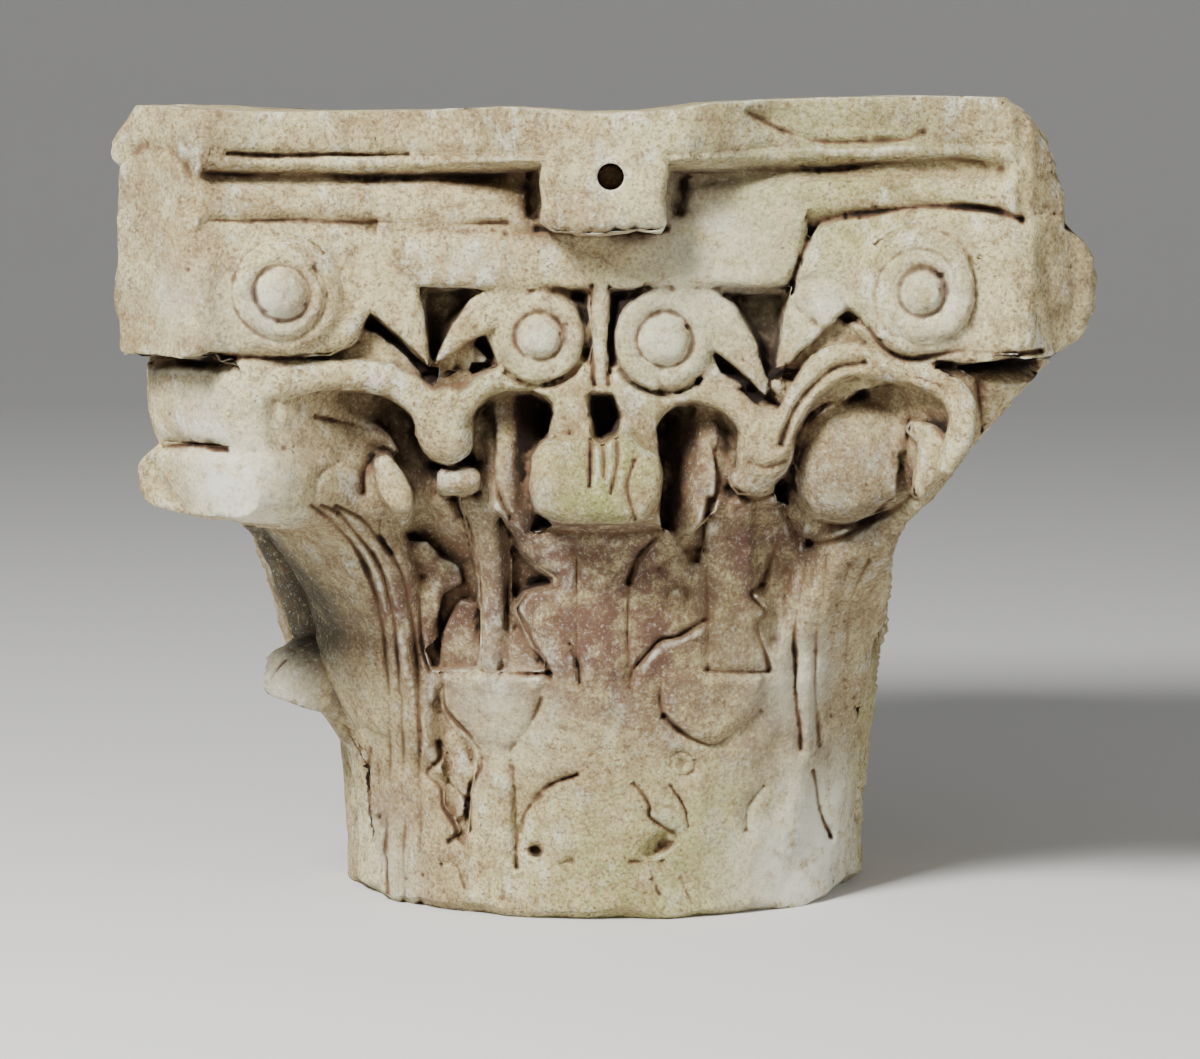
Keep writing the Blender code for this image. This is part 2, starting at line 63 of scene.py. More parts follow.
LIP_RADIUS = 0.223
ABACUS_BASE = 0.430
ABACUS_MID = 0.250
HORN_ALONG = 0.294
HORN_ACROSS = 0.235
GRAIN = 0.0014
SPARE = 0.012

marble = bpy.data.materials.new("weathered marble")
forms = bpy.data.collections.new("carved forms")
bpy.context.scene.collection.children.link(forms)
kit = bpy.data.collections.new("form kit")
bpy.context.scene.collection.children.link(kit)


def mesh_object(name, spots, faces, home):
    """Object from plain lists of points and faces."""
    mesh = bpy.data.meshes.new(name)
    mesh.from_pydata([tuple(spot) for spot in spots], [], faces)
    form = bpy.data.objects.new(name, mesh)
    home.objects.link(form)
    return form


def ringed(name, rings, home):
    """Closed form from rings of points, each as long as the others."""
    size = len(rings[0])
    faces = [list(reversed(range(size)))]
    for n in range(len(rings) - 1):
        for i in range(size):
            a, b = n * size + (i - 1) % size, n * size + i
            faces.append([a, b, b + size, a + size])
    faces.append([(len(rings) - 1) * size + i for i in range(size)])
    return mesh_object(name, [spot for ring in rings for spot in ring], faces, home)


rings = []
for level in [-SPARE] + [0.02 * n for n in range(21)]:
    share = max(level, 0.0) / LIP_LEVEL
    radius = BED_RADIUS + (LIP_RADIUS - BED_RADIUS) * min(share, 1.0) ** 4
    rings.append([Vector((radius * math.sin(turn), -radius * math.cos(turn), level))
                  for turn in np.linspace(0, 2 * math.pi, 180, endpoint=False)])
ringed("bell", rings, forms)
rings = []
for level, inset in ((ABACUS_BASE - 0.002, 0.016), (HEIGHT, 0.016)):
    ring = []
    for quarter in range(4):
        turn = Matrix.Rotation(math.radians(90 * quarter), 3, "Z")
        for across in np.linspace(-HORN_ACROSS + inset / 2, HORN_ACROSS - inset / 2, 41):
            depth = ABACUS_MID + (HORN_ALONG - ABACUS_MID) * (across / HORN_ACROSS) ** 2 - inset
            ring.append(turn @ Vector((across, -depth, level)))
    rings.append(ring)
ringed("slab", rings, forms)

# The four faces: each was drawn on the block as an elevation and cut back from it, form by form, with a
# point, a flat chisel and a drill. The drawing is in millimetres, 190 mm in front of the axis, and each
# form has the distance from the axis at which its surface stands.
DRAWING = 190.0
EYE = 2730.0
BACK = 100.0
BLOCK_FRONT = 284.0
HORN_REACH = 294
CORNER_CUT = 531
STEP = 1.4
GROUND = ((-20, 30, 60, 100, 130, 165, 190, 205, 220, 235, 250, 265, 280, 300, 345),
          (170, 172, 176, 182, 190, 201, 204, 205, 209, 215, 224, 232, 238, 241, 246))


def smoothed(points, steps=5):
    """Smooth curve through points, which may carry a half width as their third number."""
    rows = [Vector(point) for point in points]
    rows = [2 * rows[0] - rows[1]] + rows + [2 * rows[-1] - rows[-2]]
    curve = []
    for a, b, c, d in zip(rows, rows[1:], rows[2:], rows[3:]):
        for step in range(steps):
            t = step / steps
            bend = (2 * a - 5 * b + 4 * c - d) * t * t + (3 * b - a - 3 * c + d) * t ** 3
            curve.append(0.5 * (2 * b + (c - a) * t + bend))
    return curve + [rows[-2]]


class Drawing:
    """An elevation of one face, with the distance of its surface from the axis at each place."""

    def __init__(self, u, v):
        self.u, self.v = u, v
        self.deep = np.zeros(u.shape)
        self.x = u * (EYE - 262) / (EYE - DRAWING)

    def band(self, points, steps=5):
        """Distance to a curved band of changing half width."""
        rows = smoothed(points, steps) if len(points) > 2 else [Vector(point) for point in points]
        best = np.full(self.u.shape, 999.0)
        for a, b in zip(rows, rows[1:]):
            length = max((b[0] - a[0]) ** 2 + (b[1] - a[1]) ** 2, 0.01)
            t = np.clip(((self.u - a[0]) * (b[0] - a[0]) + (self.v - a[1]) * (b[1] - a[1])) / length, 0, 1)
            gap = np.hypot(self.u - a[0] - (b[0] - a[0]) * t, self.v - a[1] - (b[1] - a[1]) * t)
            if len(a) > 2:
                gap = gap - (a[2] + (b[2] - a[2]) * t)
            best = np.minimum(best, gap)
        return best

    def outline(self, points):
        """Distance to a closed outline, negative inside it."""
        best = np.full(self.u.shape, 999.0)
        inside = np.zeros(self.u.shape, bool)
        for (xa, za), (xb, zb) in zip(points, points[1:] + points[:1]):
            length = (xb - xa) ** 2 + (zb - za) ** 2
            t = np.clip(((self.u - xa) * (xb - xa) + (self.v - za) * (zb - za)) / length, 0, 1)
            best = np.minimum(best, np.hypot(self.u - xa - (xb - xa) * t, self.v - za - (zb - za) * t))
            if za != zb:
                side = (xb - xa) * (self.v - za) / (zb - za) + xa
                inside ^= ((za > self.v) != (zb > self.v)) & (self.u < side)
        return np.where(inside, -best, best)

    def disc(self, across, up, radius):
        """Distance to a round disc."""
        return np.hypot(self.u - across, self.v - up) - radius

    def leave(self, gap, top, rounded=3.0):
        """Leaves a form standing to its top, with rounded edges."""
        t = np.clip(1 + gap / rounded, 0.0, 1.0)
        height = top - rounded * (1 - np.sqrt(1 - t * t))
        self.deep = np.where(gap < 0, np.maximum(self.deep, height), self.deep)

    def cut(self, gap, floor, slope=0.6):
        """Cuts the ground inside an outline down to a floor, with sides that slope a little."""
        self.deep = np.where(gap < 0, np.minimum(self.deep, np.maximum(floor, self.deep + gap / slope)),
                             self.deep)

    def ridge(self, points, half, height):
        """Soft ridge, or a groove where the height is negative."""
        corners = np.array([point[:2] for point in points])
        low, high = corners.min(axis=0) - 4 * half - 4, corners.max(axis=0) + 4 * half + 4
        near = (self.u > low[0]) & (self.u < high[0]) & (self.v > low[1]) & (self.v < high[1])
        gap = Drawing(self.u[near], self.v[near]).band([(*point[:2], 0.0) for point in points])
        self.deep[near] += height * np.exp(-((gap / half) ** 2)) * (self.deep[near] > 0)

    def ground(self, lift):
        """Surface of the leaves, as round as the bell, with a lift."""
        flare = np.interp(self.v, (195, 220, 250, 262), (0, 5, 18, 26)) * np.clip(np.abs(self.u) / 60 - 1.4,
                0, 1)
        radius = np.interp(self.v, *GROUND) + np.interp(self.v, *self.swell) + flare + lift
        return np.sqrt(np.maximum(radius ** 2 - self.u ** 2, 0.0))

    def screen(self, lift):
        """Flat sheet of the scrolls, which is hollow as the side of the abacus is."""
        sag = (HORN_ALONG - ABACUS_MID) * (self.x / 1000 / HORN_ACROSS) ** 2
        return (ABACUS_MID + sag) * 1000 - 12 + lift


def draw_leaves(face):
    """The lower part: the corner leaf, the stalk on its goblet, and the leaf in the middle."""
    face.deep = face.ground(0.0)
    hollow = [(-120, 250), (-131, 232), (-122, 216), (-116, 199), (-112, 174), (-107, 157), (-37, 157),
              (-36, 165), (-44, 174), (-54, 195), (-48, 204), (-29, 208), (-30, 216), (-40, 222), (-49, 231),
              (-53, 239), (-61, 250), (-66, 262), (-68, 300), (-120, 300)]
    face.cut(face.outline(hollow), face.ground(-22.0), 0.25)
    lobe = [(-124, 238), (-108, 238), (-100, 228), (-88, 222), (-86, 211), (-98, 205), (-100, 196),
            (-104, 180), (-111, 168), (-118, 180), (-122, 205)]
    face.leave(face.outline(lobe), face.ground(-7.0), 7.0)
    face.leave(face.outline([(-104, 157), (-76, 157), (-78, 200), (-88, 202), (-97, 185)]),
               face.ground(-14.0), 3.0)
    face.leave(face.outline([(-62, 158), (-37, 158), (-41, 166), (-49, 174), (-56, 184), (-57, 240),
                             (-66, 262), (-70, 240)]), face.ground(-10.0), 3.0)
    stalk = face.band(((-71, 157, 6.5), (-69, 180, 7.0), (-69, 205, 8.0), (-71, 230, 9.0), (-77, 262, 11.0)))
    face.leave(stalk, face.ground(1.0), 9.0)
    face.leave(face.outline([(-62, 157), (-38, 157), (-43, 166), (-52, 172), (-60, 184), (-66, 184)]),
               face.ground(-5.0), 5.0)
    gully = [(-104, 148), (-99, 148), (-98, 136), (-93, 126), (-84, 117), (-78, 110), (-77, 103), (-79, 94),
             (-81, 81), (-82, 67), (-84, 44), (-92, 54), (-90, 60), (-93, 67), (-99, 74), (-100, 85),
             (-107, 94), (-102, 103), (-105, 113), (-107, 132)]
    face.cut(face.outline(gully), face.ground(-9.0), 0.3)
    face.leave(face.band(((-93, 116, 5.0), (-88, 100, 6.0), (-86, 88, 5.0), (-88, 70, 3.0))),
               face.ground(-4.0), 4.0)
    face.leave(face.outline([(-99, 157), (-99, 147), (-98, 136), (-93, 126), (-84, 117), (-78, 110),
                             (-58, 110), (-46, 122), (-40, 140), (-36, 156)]), face.ground(3.0), 6.0)
    face.leave(face.band(((-68, 112, 9.0), (-69, 80, 11.5), (-69, 20, 13.0))), face.ground(2.0), 4.0)
    face.cut(face.outline([(-57, 88), (-50, 88), (-46, 78), (-52, 66), (-55, 50), (-57, 60)]),
             face.ground(-5.0), 0.5)
    crescent = face.band(((-34, 84, 1.0), (-43, 77, 2.0), (-50, 66, 3.0), (-50, 52, 4.0), (-42, 46, 5.5)))
    face.cut(crescent, face.ground(-3.5), 0.8)
    face.cut(face.disc(-42, 48, 6.5), face.ground(-11.0), 0.6)
    face.cut(face.outline([(-33, 37), (-16, 37), (-18, 46), (-26, 44)]), face.ground(-5.0), 0.7)
    face.ridge(((-200, 236), (-178, 215), (-166, 185), (-164, 150)), 17.0, -5.0)
    face.cut(face.disc(-138, 67, 3.5), face.ground(-14.0), 0.5)


def draw_right_leaves(face):
    """The lower part on the right, which is more worn and mostly softened."""
    face.cut(face.outline([(64, 300), (64, 262), (62, 240), (58, 222), (50, 222), (40, 240), (36, 262),
                           (36, 300)]), face.ground(-10.0), 0.3)
    face.cut(face.outline([(88, 262), (87, 238), (89, 205), (97, 196), (92, 186), (96, 172), (102, 160),
                           (108, 176), (112, 200), (116, 222), (126, 262)]), face.ground(-9.0), 0.5)
    face.ridge(((20, 150), (31, 168), (50, 177), (62, 184)), 3.0, 2.0)
    face.cut(face.band(((37, 197, 2.0), (38, 207, 3.0), (44, 211, 3.5), (49, 206, 4.0), (47, 198, 3.0))),
             face.ground(-9.0), 0.6)
    face.leave(face.outline([(33, 157), (34, 130), (51, 116), (67, 112), (79, 120), (92, 131), (96, 143),
                             (98, 157)]), face.ground(3.5), 5.0)
    face.cut(face.disc(35, 53, 8.0), face.ground(-9.0), 0.6)
    face.cut(face.outline([(42, 60), (44, 53), (38, 46), (26, 40), (20, 45), (28, 56)]), face.ground(-5.0),
             0.6)
    face.cut(face.disc(46, 101, 6.0), face.ground(-5.0), 0.8)
    face.ridge(((150, 241), (138, 211), (127, 174), (122, 140), (120, 104), (115, 60)), 9.0, 4.5)
    face.ridge(((146, 232), (138, 205), (131, 174), (127, 140), (124, 100)), 7.0, 3.0)


def draw_caves(face, side):
    """The openings under the arches, where the tops of the leaves behind curl forward."""
    cave = [(-205, 345), (-199, 292), (-178, 292), (-176, 262), (-160, 256), (-139, 250), (-118, 254),
            (-104, 262), (-98, 282), (-104, 300), (-104, 345)]
    face.deep = np.where(face.outline([(side * a, b) for a, b in cave]) < 0, 0.0, face.deep)
    away = side * face.u
    floor = np.interp(away, (-205, -178, -150, -125, -108, -96), (236, 232, 221, 207, 190, 176))
    floor = floor + np.interp(face.v, (255, 275, 300, 325, 345), (0, 4, 0, -7, -14))
    face.leave(face.outline([(side * a, b) for a, b in cave]), floor, 4.0)
    inner = [(-82, 345), (-80, 262), (-62, 252), (-50, 240), (-33, 246), (-30, 345)]
    face.deep = np.where(face.outline([(side * a, b) for a, b in inner]) < 0, 0.0, face.deep)
    floor = np.interp(away, (-84, -73, -66, -57, -46, -36), (211, 214, 224, 222, 209, 194))
    floor = floor + np.interp(face.v, (240, 280, 300, 326, 345), (3, 2, -1, -12, -16))
    face.leave(face.outline([(side * a, b) for a, b in inner]), floor, 4.0)


def draw_scrolls(face, side):
    """The sheet of scrolls on one side: arches, horn-shaped stems, the volute and the helix."""
    def turned(rows):
        """Points of the left side, for this side."""
        return [(side * row[0], *row[1:]) for row in rows]

    arch = turned([(-250, 346), (-206, 342), (-204, 322), (-193, 324), (-177, 328), (-157, 329),
                   (-139, 326), (-125, 320), (-117, 312), (-108, 300), (-96, 300), (-82, 306), (-79, 319),
                   (-69, 324), (-55, 326), (-43, 325), (-35, 321), (-31, 314), (-33, 306), (-24, 300),
                   (-14, 312), (-13, 328), (2, 332), (2, 440), (-250, 440)])
    face.deep = np.where(face.outline(arch) < 0, np.maximum(face.deep, face.screen(-22.0)), face.deep)
    recess = turned([(-200, 352), (-149, 356), (-143, 376), (-125, 359), (-106, 341), (-118, 336),
                     (-150, 345), (-200, 346)])
    face.leave(face.outline(recess), face.screen(-11.0), 2.0)
    face.leave(face.outline(turned([(-250, 346), (-206, 345), (-204, 318), (-193, 323), (-173, 328),
                                    (-149, 329), (-131, 325), (-119, 316), (-110, 300), (-96, 300),
                                    (-100, 326), (-112, 336), (-130, 345), (-150, 347), (-200, 346)])),
               face.screen(2.0), 9.0)
    face.leave(face.band(turned([(-95, 306, 9.5), (-88, 319, 9.5), (-74, 332, 8.0), (-58, 336, 7.5),
                                 (-42, 336, 8.0), (-27, 329, 9.5), (-21, 315, 10.5), (-25, 298, 10.0)])),
               face.screen(2.0), 7.0)
    face.leave(face.outline(turned([(-66, 350), (-62, 338), (-30, 336), (-14, 345), (-14, 365), (-50, 376)])),
               face.screen(-5.0), 3.0)
    stem = turned([(-131, 421), (-115, 397), (-108, 375), (-106, 341), (-125, 359), (-143, 377), (-150, 400)])
    face.leave(face.outline(stem), face.screen(3.0), 5.0)
    stem = turned([(-104, 344), (-93, 367), (-83, 383), (-69, 391), (-50, 392), (-60, 370), (-77, 361),
                   (-88, 354)])
    face.leave(face.outline(stem), face.screen(0.5), 4.0)
    face.cut(face.outline(turned([(-99, 342), (-79, 358), (-70, 354), (-63, 341), (-77, 334), (-89, 322),
                                  (-95, 331)])), face.screen(-13.0), 0.5)
    for slot in ([(-145, 376), (-139, 374), (-125, 363), (-112, 351), (-106, 337), (-111, 337), (-125, 353),
                  (-139, 364), (-147, 364)],
                 [(-81, 357), (-76, 363), (-71, 362), (-66, 351), (-64, 341), (-70, 346), (-77, 354)]):
        face.cut(face.outline(turned(slot)), face.screen(-30.0), 0.15)


def draw_eye(face, across, up, radius):
    """The raised eye of a scroll."""
    far = face.disc(across, up, 0.0)
    face.deep = face.deep + 5.0 * np.sqrt(np.clip(1 - (far / radius) ** 2, 0, 1))


def draw_volute(face, side):
    """The volute of the left corner, and of every corner on the plainer faces."""
    face.leave(face.outline([(side * a, b) for a, b in ((-300, 346), (-245, 345), (-197, 348), (-165, 350),
                             (-150, 358), (-140, 380), (-132, 421), (-160, 432), (-300, 434))]),
               face.screen(3.0), 5.0)
    face.leave(face.disc(side * -195, 387, 42.0), face.screen(13.0), 24.0)
    draw_eye(face, side * -195, 387, 14.0)


def draw_helix(face, side, centre, radius):
    """The helix, a small scroll beside the bar in the middle."""
    ring = np.abs(face.disc(side * centre[0], centre[1], radius + 2.5)) - 3.5
    away = side * face.u
    open_side = (away > centre[0] - 6) | (face.v < centre[1] - 12) & (away > centre[0] - 22)
    face.cut(np.where(open_side, ring, 1.0), face.screen(-15.0), 0.3)
    face.leave(face.disc(side * centre[0], centre[1], radius), face.screen(4.0), 12.0)
    draw_eye(face, side * centre[0], centre[1], radius * 0.46)


def draw_cup(face, side, drop):
    """The cup and the collar at the top of a stalk."""
    collar = [(-94, 274, 9.0), (-84, 274, 9.0)]
    face.leave(face.band([(side * a, b, c) for a, b, c in collar]), face.screen(-7.0), 9.0)
    cup = [(-96, 318, 14.0), (-97, 306, 17.5), (-96, 300, 16.5)]
    face.leave(face.band([(side * a, b - drop, c) for a, b, c in cup]), face.screen(2.0), 15.0)


def draw_top(face):
    """The lip, the hollow-sided abacus with its mouldings, and the block in the middle of it."""
    face.leave(face.outline([(-112, 391), (-60, 390), (0, 391), (60, 391), (108, 391), (118, 405), (126, 440),
                             (-142, 440), (-136, 412), (-122, 400)]), face.screen(6.0), 7.0)
    sag = face.screen(12.0)
    level = face.v - 4.0 * np.clip(face.u / 60 - 1, 0, 1)
    rise = np.interp(level, (424, 427, 431, 436, 446, 450, 454, 458, 461, 464, 469, 471, 474, 480, 500),
                     (-17, -15, -10, -8, -7, -9, -15, -16, -10, -4.5, -3.5, -6.5, -3, -1.5, 0))
    plain = np.clip((np.abs(face.u) - 238) / 12, 0, 1)
    rise = rise * (1 - plain) - plain
    slab = np.where(face.v > 427, sag + rise, 0.0)
    slab = np.minimum(slab, CORNER_CUT - 2 - np.abs(face.x))
    face.deep = np.maximum(face.deep, slab * (np.abs(face.x) < HORN_REACH))
    swell = 34 * np.clip(1.9 - np.abs(face.u + 1) / 56, 0, 1) ** 1.3 * np.clip((face.v - 460) / 7, 0, 1)
    face.deep = np.minimum(face.deep + swell, np.maximum(face.deep, BLOCK_FRONT))
    block = face.outline([(-37, 470), (-40, 455), (-38, 443), (-40, 430), (-31, 424), (-5, 422), (18, 425),
                          (33, 423), (37, 431), (35, 446), (38, 461), (36, 505), (-37, 505)])
    face.leave(block, BLOCK_FRONT, 7.0)
    for recess in ([(-49, 431), (-39, 429), (-38, 464), (-48, 464)],
                   [(38, 430), (49, 433), (49, 464), (37, 466)]):
        face.cut(face.outline(recess), face.screen(-11.0), 0.4)
    face.cut(face.disc(3, 457, 8.3), 262.0, 0.05)


def draw_tip(face):
    """The tip of the middle leaf, which curls out under the helices."""
    tip = [(-39, 298), (-45, 288), (-46, 268), (-43, 256), (-33, 249), (-20, 247), (0, 248), (12, 247),
           (24, 249), (33, 263), (35, 280), (32, 290), (24, 293), (16, 301), (12, 312), (-12, 312),
           (-18, 303)]
    top = np.interp(face.v, (246, 255, 274, 295, 325), (259, 264, 263, 255, 243)) - 0.0035 * (face.u + 6) ** 2
    face.leave(face.outline(tip), top, 8.0)
    face.cut(face.outline([(-12, 328), (5, 328), (11, 313), (8, 301), (-3, 295), (-9, 299), (-10, 312)]),
             212.0, 0.15)


def draw_bar(face):
    """The short bar between the helices, with a dark slot down each side of it."""
    for slot in ([(-30, 391), (-9, 391), (-9, 335), (-13, 338), (-12, 366), (-17, 380)],
                 [(25, 391), (1, 391), (1, 335), (6, 338), (5, 366), (10, 380)]):
        face.cut(face.outline(slot), face.screen(-20.0), 0.2)
    face.leave(face.outline([(-9, 395), (0.5, 395), (0.5, 328), (-9, 328)]), face.screen(-1.0), 2.5)


def draw_pockets(face, side):
    """The dark pockets on each side of the bar."""
    face.cut(face.outline([(side * a, b) for a, b in ((-109, 389), (-78, 389), (-92, 370), (-103, 345),
                                                      (-107, 349))]), face.screen(-27.0), 0.2)


def draw_right_volute(face):
    """The right volute: bigger and higher than the left, chipped, with its outer roll pushed out."""
    body = [(110, 384), (116, 409), (128, 428), (148, 438), (189, 441), (230, 439), (249, 430), (300, 430),
            (300, 346), (220, 345), (181, 349), (157, 360), (148, 374), (132, 366)]
    face.leave(face.outline([(100, 325), (132, 380), (160, 384), (174, 350), (150, 346), (124, 334),
                             (108, 318)]), face.screen(-10.0), 3.0)
    face.leave(face.outline(body), face.screen(5.0), 7.0)
    face.leave(face.outline([(99, 330), (110, 384), (132, 364), (116, 350), (106, 325)]), face.screen(0.0),
               4.0)
    face.leave(face.disc(188, 391, 47.0), face.screen(15.0), 26.0)
    draw_eye(face, 191, 388, 12.0)
    face.cut(face.outline([(110, 396), (109, 384), (116, 377), (132, 364), (149, 377), (148, 394),
                           (132, 402)]), face.screen(2.0), 0.5)
    face.leave(face.band(((153, 371, 3.0), (166, 366, 6.0), (180, 357, 3.0))), face.screen(0.0), 5.0)
    face.cut(face.outline([(134, 370), (146, 380), (155, 375), (160, 364), (148, 369)]), face.screen(-26.0),
             0.2)


def draw_right_arches(face):
    """The arches on the right: the outer one rises steeply and droops into a leaf at its end."""
    arch = [(2, 440), (2, 332), (13, 328), (22, 300), (30, 300), (30, 311), (36, 317), (52, 320), (69, 315),
            (77, 302), (90, 290), (100, 282), (112, 284), (120, 302), (132, 315), (153, 329), (173, 333),
            (189, 328), (202, 312), (206, 290), (212, 282), (224, 300), (226, 323), (220, 346), (250, 346),
            (250, 440)]
    face.deep = np.where(face.outline(arch) < 0, np.maximum(face.deep, face.screen(-22.0)), face.deep)
    face.leave(face.band(((104, 292, 7.0), (111, 312, 7.5), (124, 334, 9.5), (144, 347, 11.0),
                          (170, 343, 9.0), (195, 338, 9.0), (214, 322, 9.0), (214, 300, 8.0),
                          (206, 282, 5.0))), face.screen(2.0), 7.0)
    face.leave(face.band(((186, 306, 4.0), (196, 300, 8.0), (197, 285, 9.0), (190, 268, 5.0))),
               face.screen(-7.0), 8.0)
    face.leave(face.band(((99, 296, 9.0), (90, 306, 8.5), (79, 320, 8.0), (62, 327, 7.0), (44, 327, 7.0),
                          (29, 318, 7.5), (22, 302, 7.5), (24, 288, 6.0))), face.screen(1.0), 6.0)
    face.leave(face.outline([(20, 344), (26, 332), (84, 330), (94, 330), (66, 352), (40, 376)]),
               face.screen(-5.0), 3.0)
    face.leave(face.outline([(62, 392), (77, 380), (91, 358), (98, 335), (97, 324), (79, 341), (66, 352),
                             (50, 372), (50, 392)]), face.screen(0.5), 4.0)
    face.cut(face.outline([(66, 388), (109, 388), (100, 337), (92, 358), (78, 380)]), face.screen(-27.0), 0.2)
    face.cut(face.outline([(61, 356), (67, 353), (81, 342), (91, 332), (98, 320), (90, 324), (80, 333),
                           (69, 338)]), face.screen(-26.0), 0.2)


def draw_folds(face):
    """Folded ends of the leaves inside the left opening."""
    face.leave(face.band(((-134, 284, 6.0), (-128, 270, 9.0), (-124, 262, 8.0))), 244.0, 7.0)
    face.leave(face.band(((-190, 322, 3.0), (-160, 310, 7.0), (-138, 302, 6.0), (-128, 292, 3.0))), 222.0,
               7.0)


def draw_right_cave(face):
    """The full, rounded leaf inside the right opening, and the one that curls up behind it."""
    ball = face.outline([(120, 312), (128, 320), (146, 325), (166, 325), (178, 318), (182, 300), (180, 280),
                         (184, 262), (172, 256), (148, 248), (128, 252), (116, 268), (113, 290)])
    bulge = 236 - 0.009 * (face.u - 148) ** 2 - 0.006 * (face.v - 284) ** 2
    face.leave(ball, bulge, 13.0)
    face.leave(face.outline([(184, 322), (194, 316), (203, 300), (206, 282), (198, 266), (190, 262),
                             (184, 276), (182, 300)]), 236.0, 9.0)
    face.cut(face.outline([(168, 328), (176, 314), (186, 308), (196, 312), (203, 322), (196, 332)]), 196.0,
             0.3)
    face.cut(face.outline([(102, 272), (110, 268), (120, 256), (118, 248), (110, 254)]), 196.0, 0.3)


def drawn(u, v, kind, swell):
    """A whole face. The plain kind repeats the left half in mirror image."""
    face = Drawing(u, v)
    face.swell = swell
    if kind == "plain":
        face.u = -np.abs(u) - 2.0
        sides = (1.0,)
    else:
        sides = (1.0, -1.0)
    draw_leaves(face)
    if kind == "front":
        left = face.deep
        face.deep = face.ground(0.0)
        draw_right_leaves(face)
        face.deep = np.where(face.u < 0, left, face.deep)
    face.ridge(((-4, 250), (-3, 200), (-2, 140)), 8.0, 2.5)
    for side in sides:
        draw_caves(face, side)
    draw_folds(face)
    if kind == "front":
        draw_right_cave(face)
    draw_scrolls(face, 1.0)
    draw_volute(face, 1.0)
    draw_helix(face, 1.0, (-40, 361), 27.0)
    if kind == "front":
        draw_right_arches(face)
        draw_right_volute(face)
        draw_helix(face, -1.0, (-36, 359), 30.0)
    draw_bar(face)
    draw_pockets(face, 1.0)
    draw_tip(face)
    draw_cup(face, 1.0, 0.0)
    if kind == "front":
        draw_cup(face, -1.0, 11.0)
    face.u = u
    draw_top(face)
    face.deep = np.minimum(face.deep, CORNER_CUT - np.abs(face.x))
    beyond = (np.abs(face.x) > HORN_REACH) | ((face.v < 350) & (np.abs(face.x) > 228))
    face.deep = np.where(beyond | ((face.v < 250) & (np.abs(face.u) > 175)), 0.0, face.deep)
    return face


def carve_face(name, kind, swell, azimuths):
    """Cuts a face as a thick relief whose grid lies along the lines of sight."""
    u, v = np.meshgrid(np.arange(-306.0, 306.1, STEP), np.arange(-18.0, 500.1, STEP))
    v[-1, :] = 500.0
    face = drawn(u, v, kind, swell)
    deep = face.deep
    behind = np.maximum(BACK, np.abs(face.x) - 42)
    kept = deep > behind + 2
    scale = (EYE - deep) / (EYE - DRAWING)
    front = np.stack((u * scale, -deep, 500 - (500 - v) * scale), axis=-1) / 1000
    rear = np.stack((u * scale, -behind, 500 - (500 - v) * scale), axis=-1) / 1000
    cells = kept[:-1, :-1] & kept[1:, :-1] & kept[:-1, 1:] & kept[1:, 1:]
    rows, columns = u.shape
    number = np.arange(rows * columns).reshape(rows, columns)
    a, b, c, d = (number[:-1, :-1], number[:-1, 1:], number[1:, 1:], number[1:, :-1])
    total = rows * columns
    quads = [np.stack((a, b, c, d), -1)[cells], np.stack((d, c, b, a), -1)[cells] + total]
    padded = np.pad(cells, 1)
    for (p, q), beside in (((a, b), padded[:-2, 1:-1]), ((b, c), padded[1:-1, 2:]),
                           ((c, d), padded[2:, 1:-1]), ((d, a), padded[1:-1, :-2])):
        edge = cells & ~beside
        quads.append(np.stack((q, p, p + total, q + total), -1)[edge])
    quads = np.concatenate(quads)
    used, place = np.unique(quads, return_inverse=True)
    spots = np.concatenate((front.reshape(-1, 3), rear.reshape(-1, 3)))[used]
    form = mesh_object(name, spots.tolist(), place.reshape(-1, 4).tolist(), kit)
    stand_copies(form, azimuths)


def copies_tree():
    """Node tree that stands a form at every point, turned and mirrored by the point's attributes."""
    tree = bpy.data.node_groups.new("copies round the axis", "GeometryNodeTree")
    tree.interface.new_socket("Places", in_out="INPUT", socket_type="NodeSocketGeometry")
    tree.interface.new_socket("Form", in_out="INPUT", socket_type="NodeSocketObject")
    tree.interface.new_socket("Stone", in_out="INPUT", socket_type="NodeSocketMaterial")
    tree.interface.new_socket("Copies", in_out="OUTPUT", socket_type="NodeSocketGeometry")
    node = tree.nodes.new
    given, out = node("NodeGroupInput"), node("NodeGroupOutput")
    form = node("GeometryNodeObjectInfo")
    turn = node("GeometryNodeInputNamedAttribute")
    turn.inputs["Name"].default_value = "azimuth"
    turn_xyz = node("ShaderNodeCombineXYZ")
    stand = node("GeometryNodeInstanceOnPoints")
    real, paint = node("GeometryNodeRealizeInstances"), node("GeometryNodeSetMaterial")
    link = tree.links.new
    link(given.outputs["Places"], stand.inputs["Points"])
    link(given.outputs["Form"], form.inputs["Object"])
    link(form.outputs["Geometry"], stand.inputs["Instance"])
    link(turn.outputs["Attribute"], turn_xyz.inputs["Z"])
    link(turn_xyz.outputs[0], stand.inputs["Rotation"])
    link(stand.outputs["Instances"], real.inputs["Geometry"])
    link(real.outputs["Geometry"], paint.inputs["Geometry"])
    link(given.outputs["Stone"], paint.inputs["Material"])
    link(paint.outputs["Geometry"], out.inputs["Copies"])
    return tree


COPIES = copies_tree()


def set_input(modifier, name, value):
    """Gives a node modifier's input its value by the socket's identifier."""
    for item in modifier.node_group.interface.items_tree:
        if item.name == name and item.in_out == "INPUT":
            modifier[item.identifier] = value


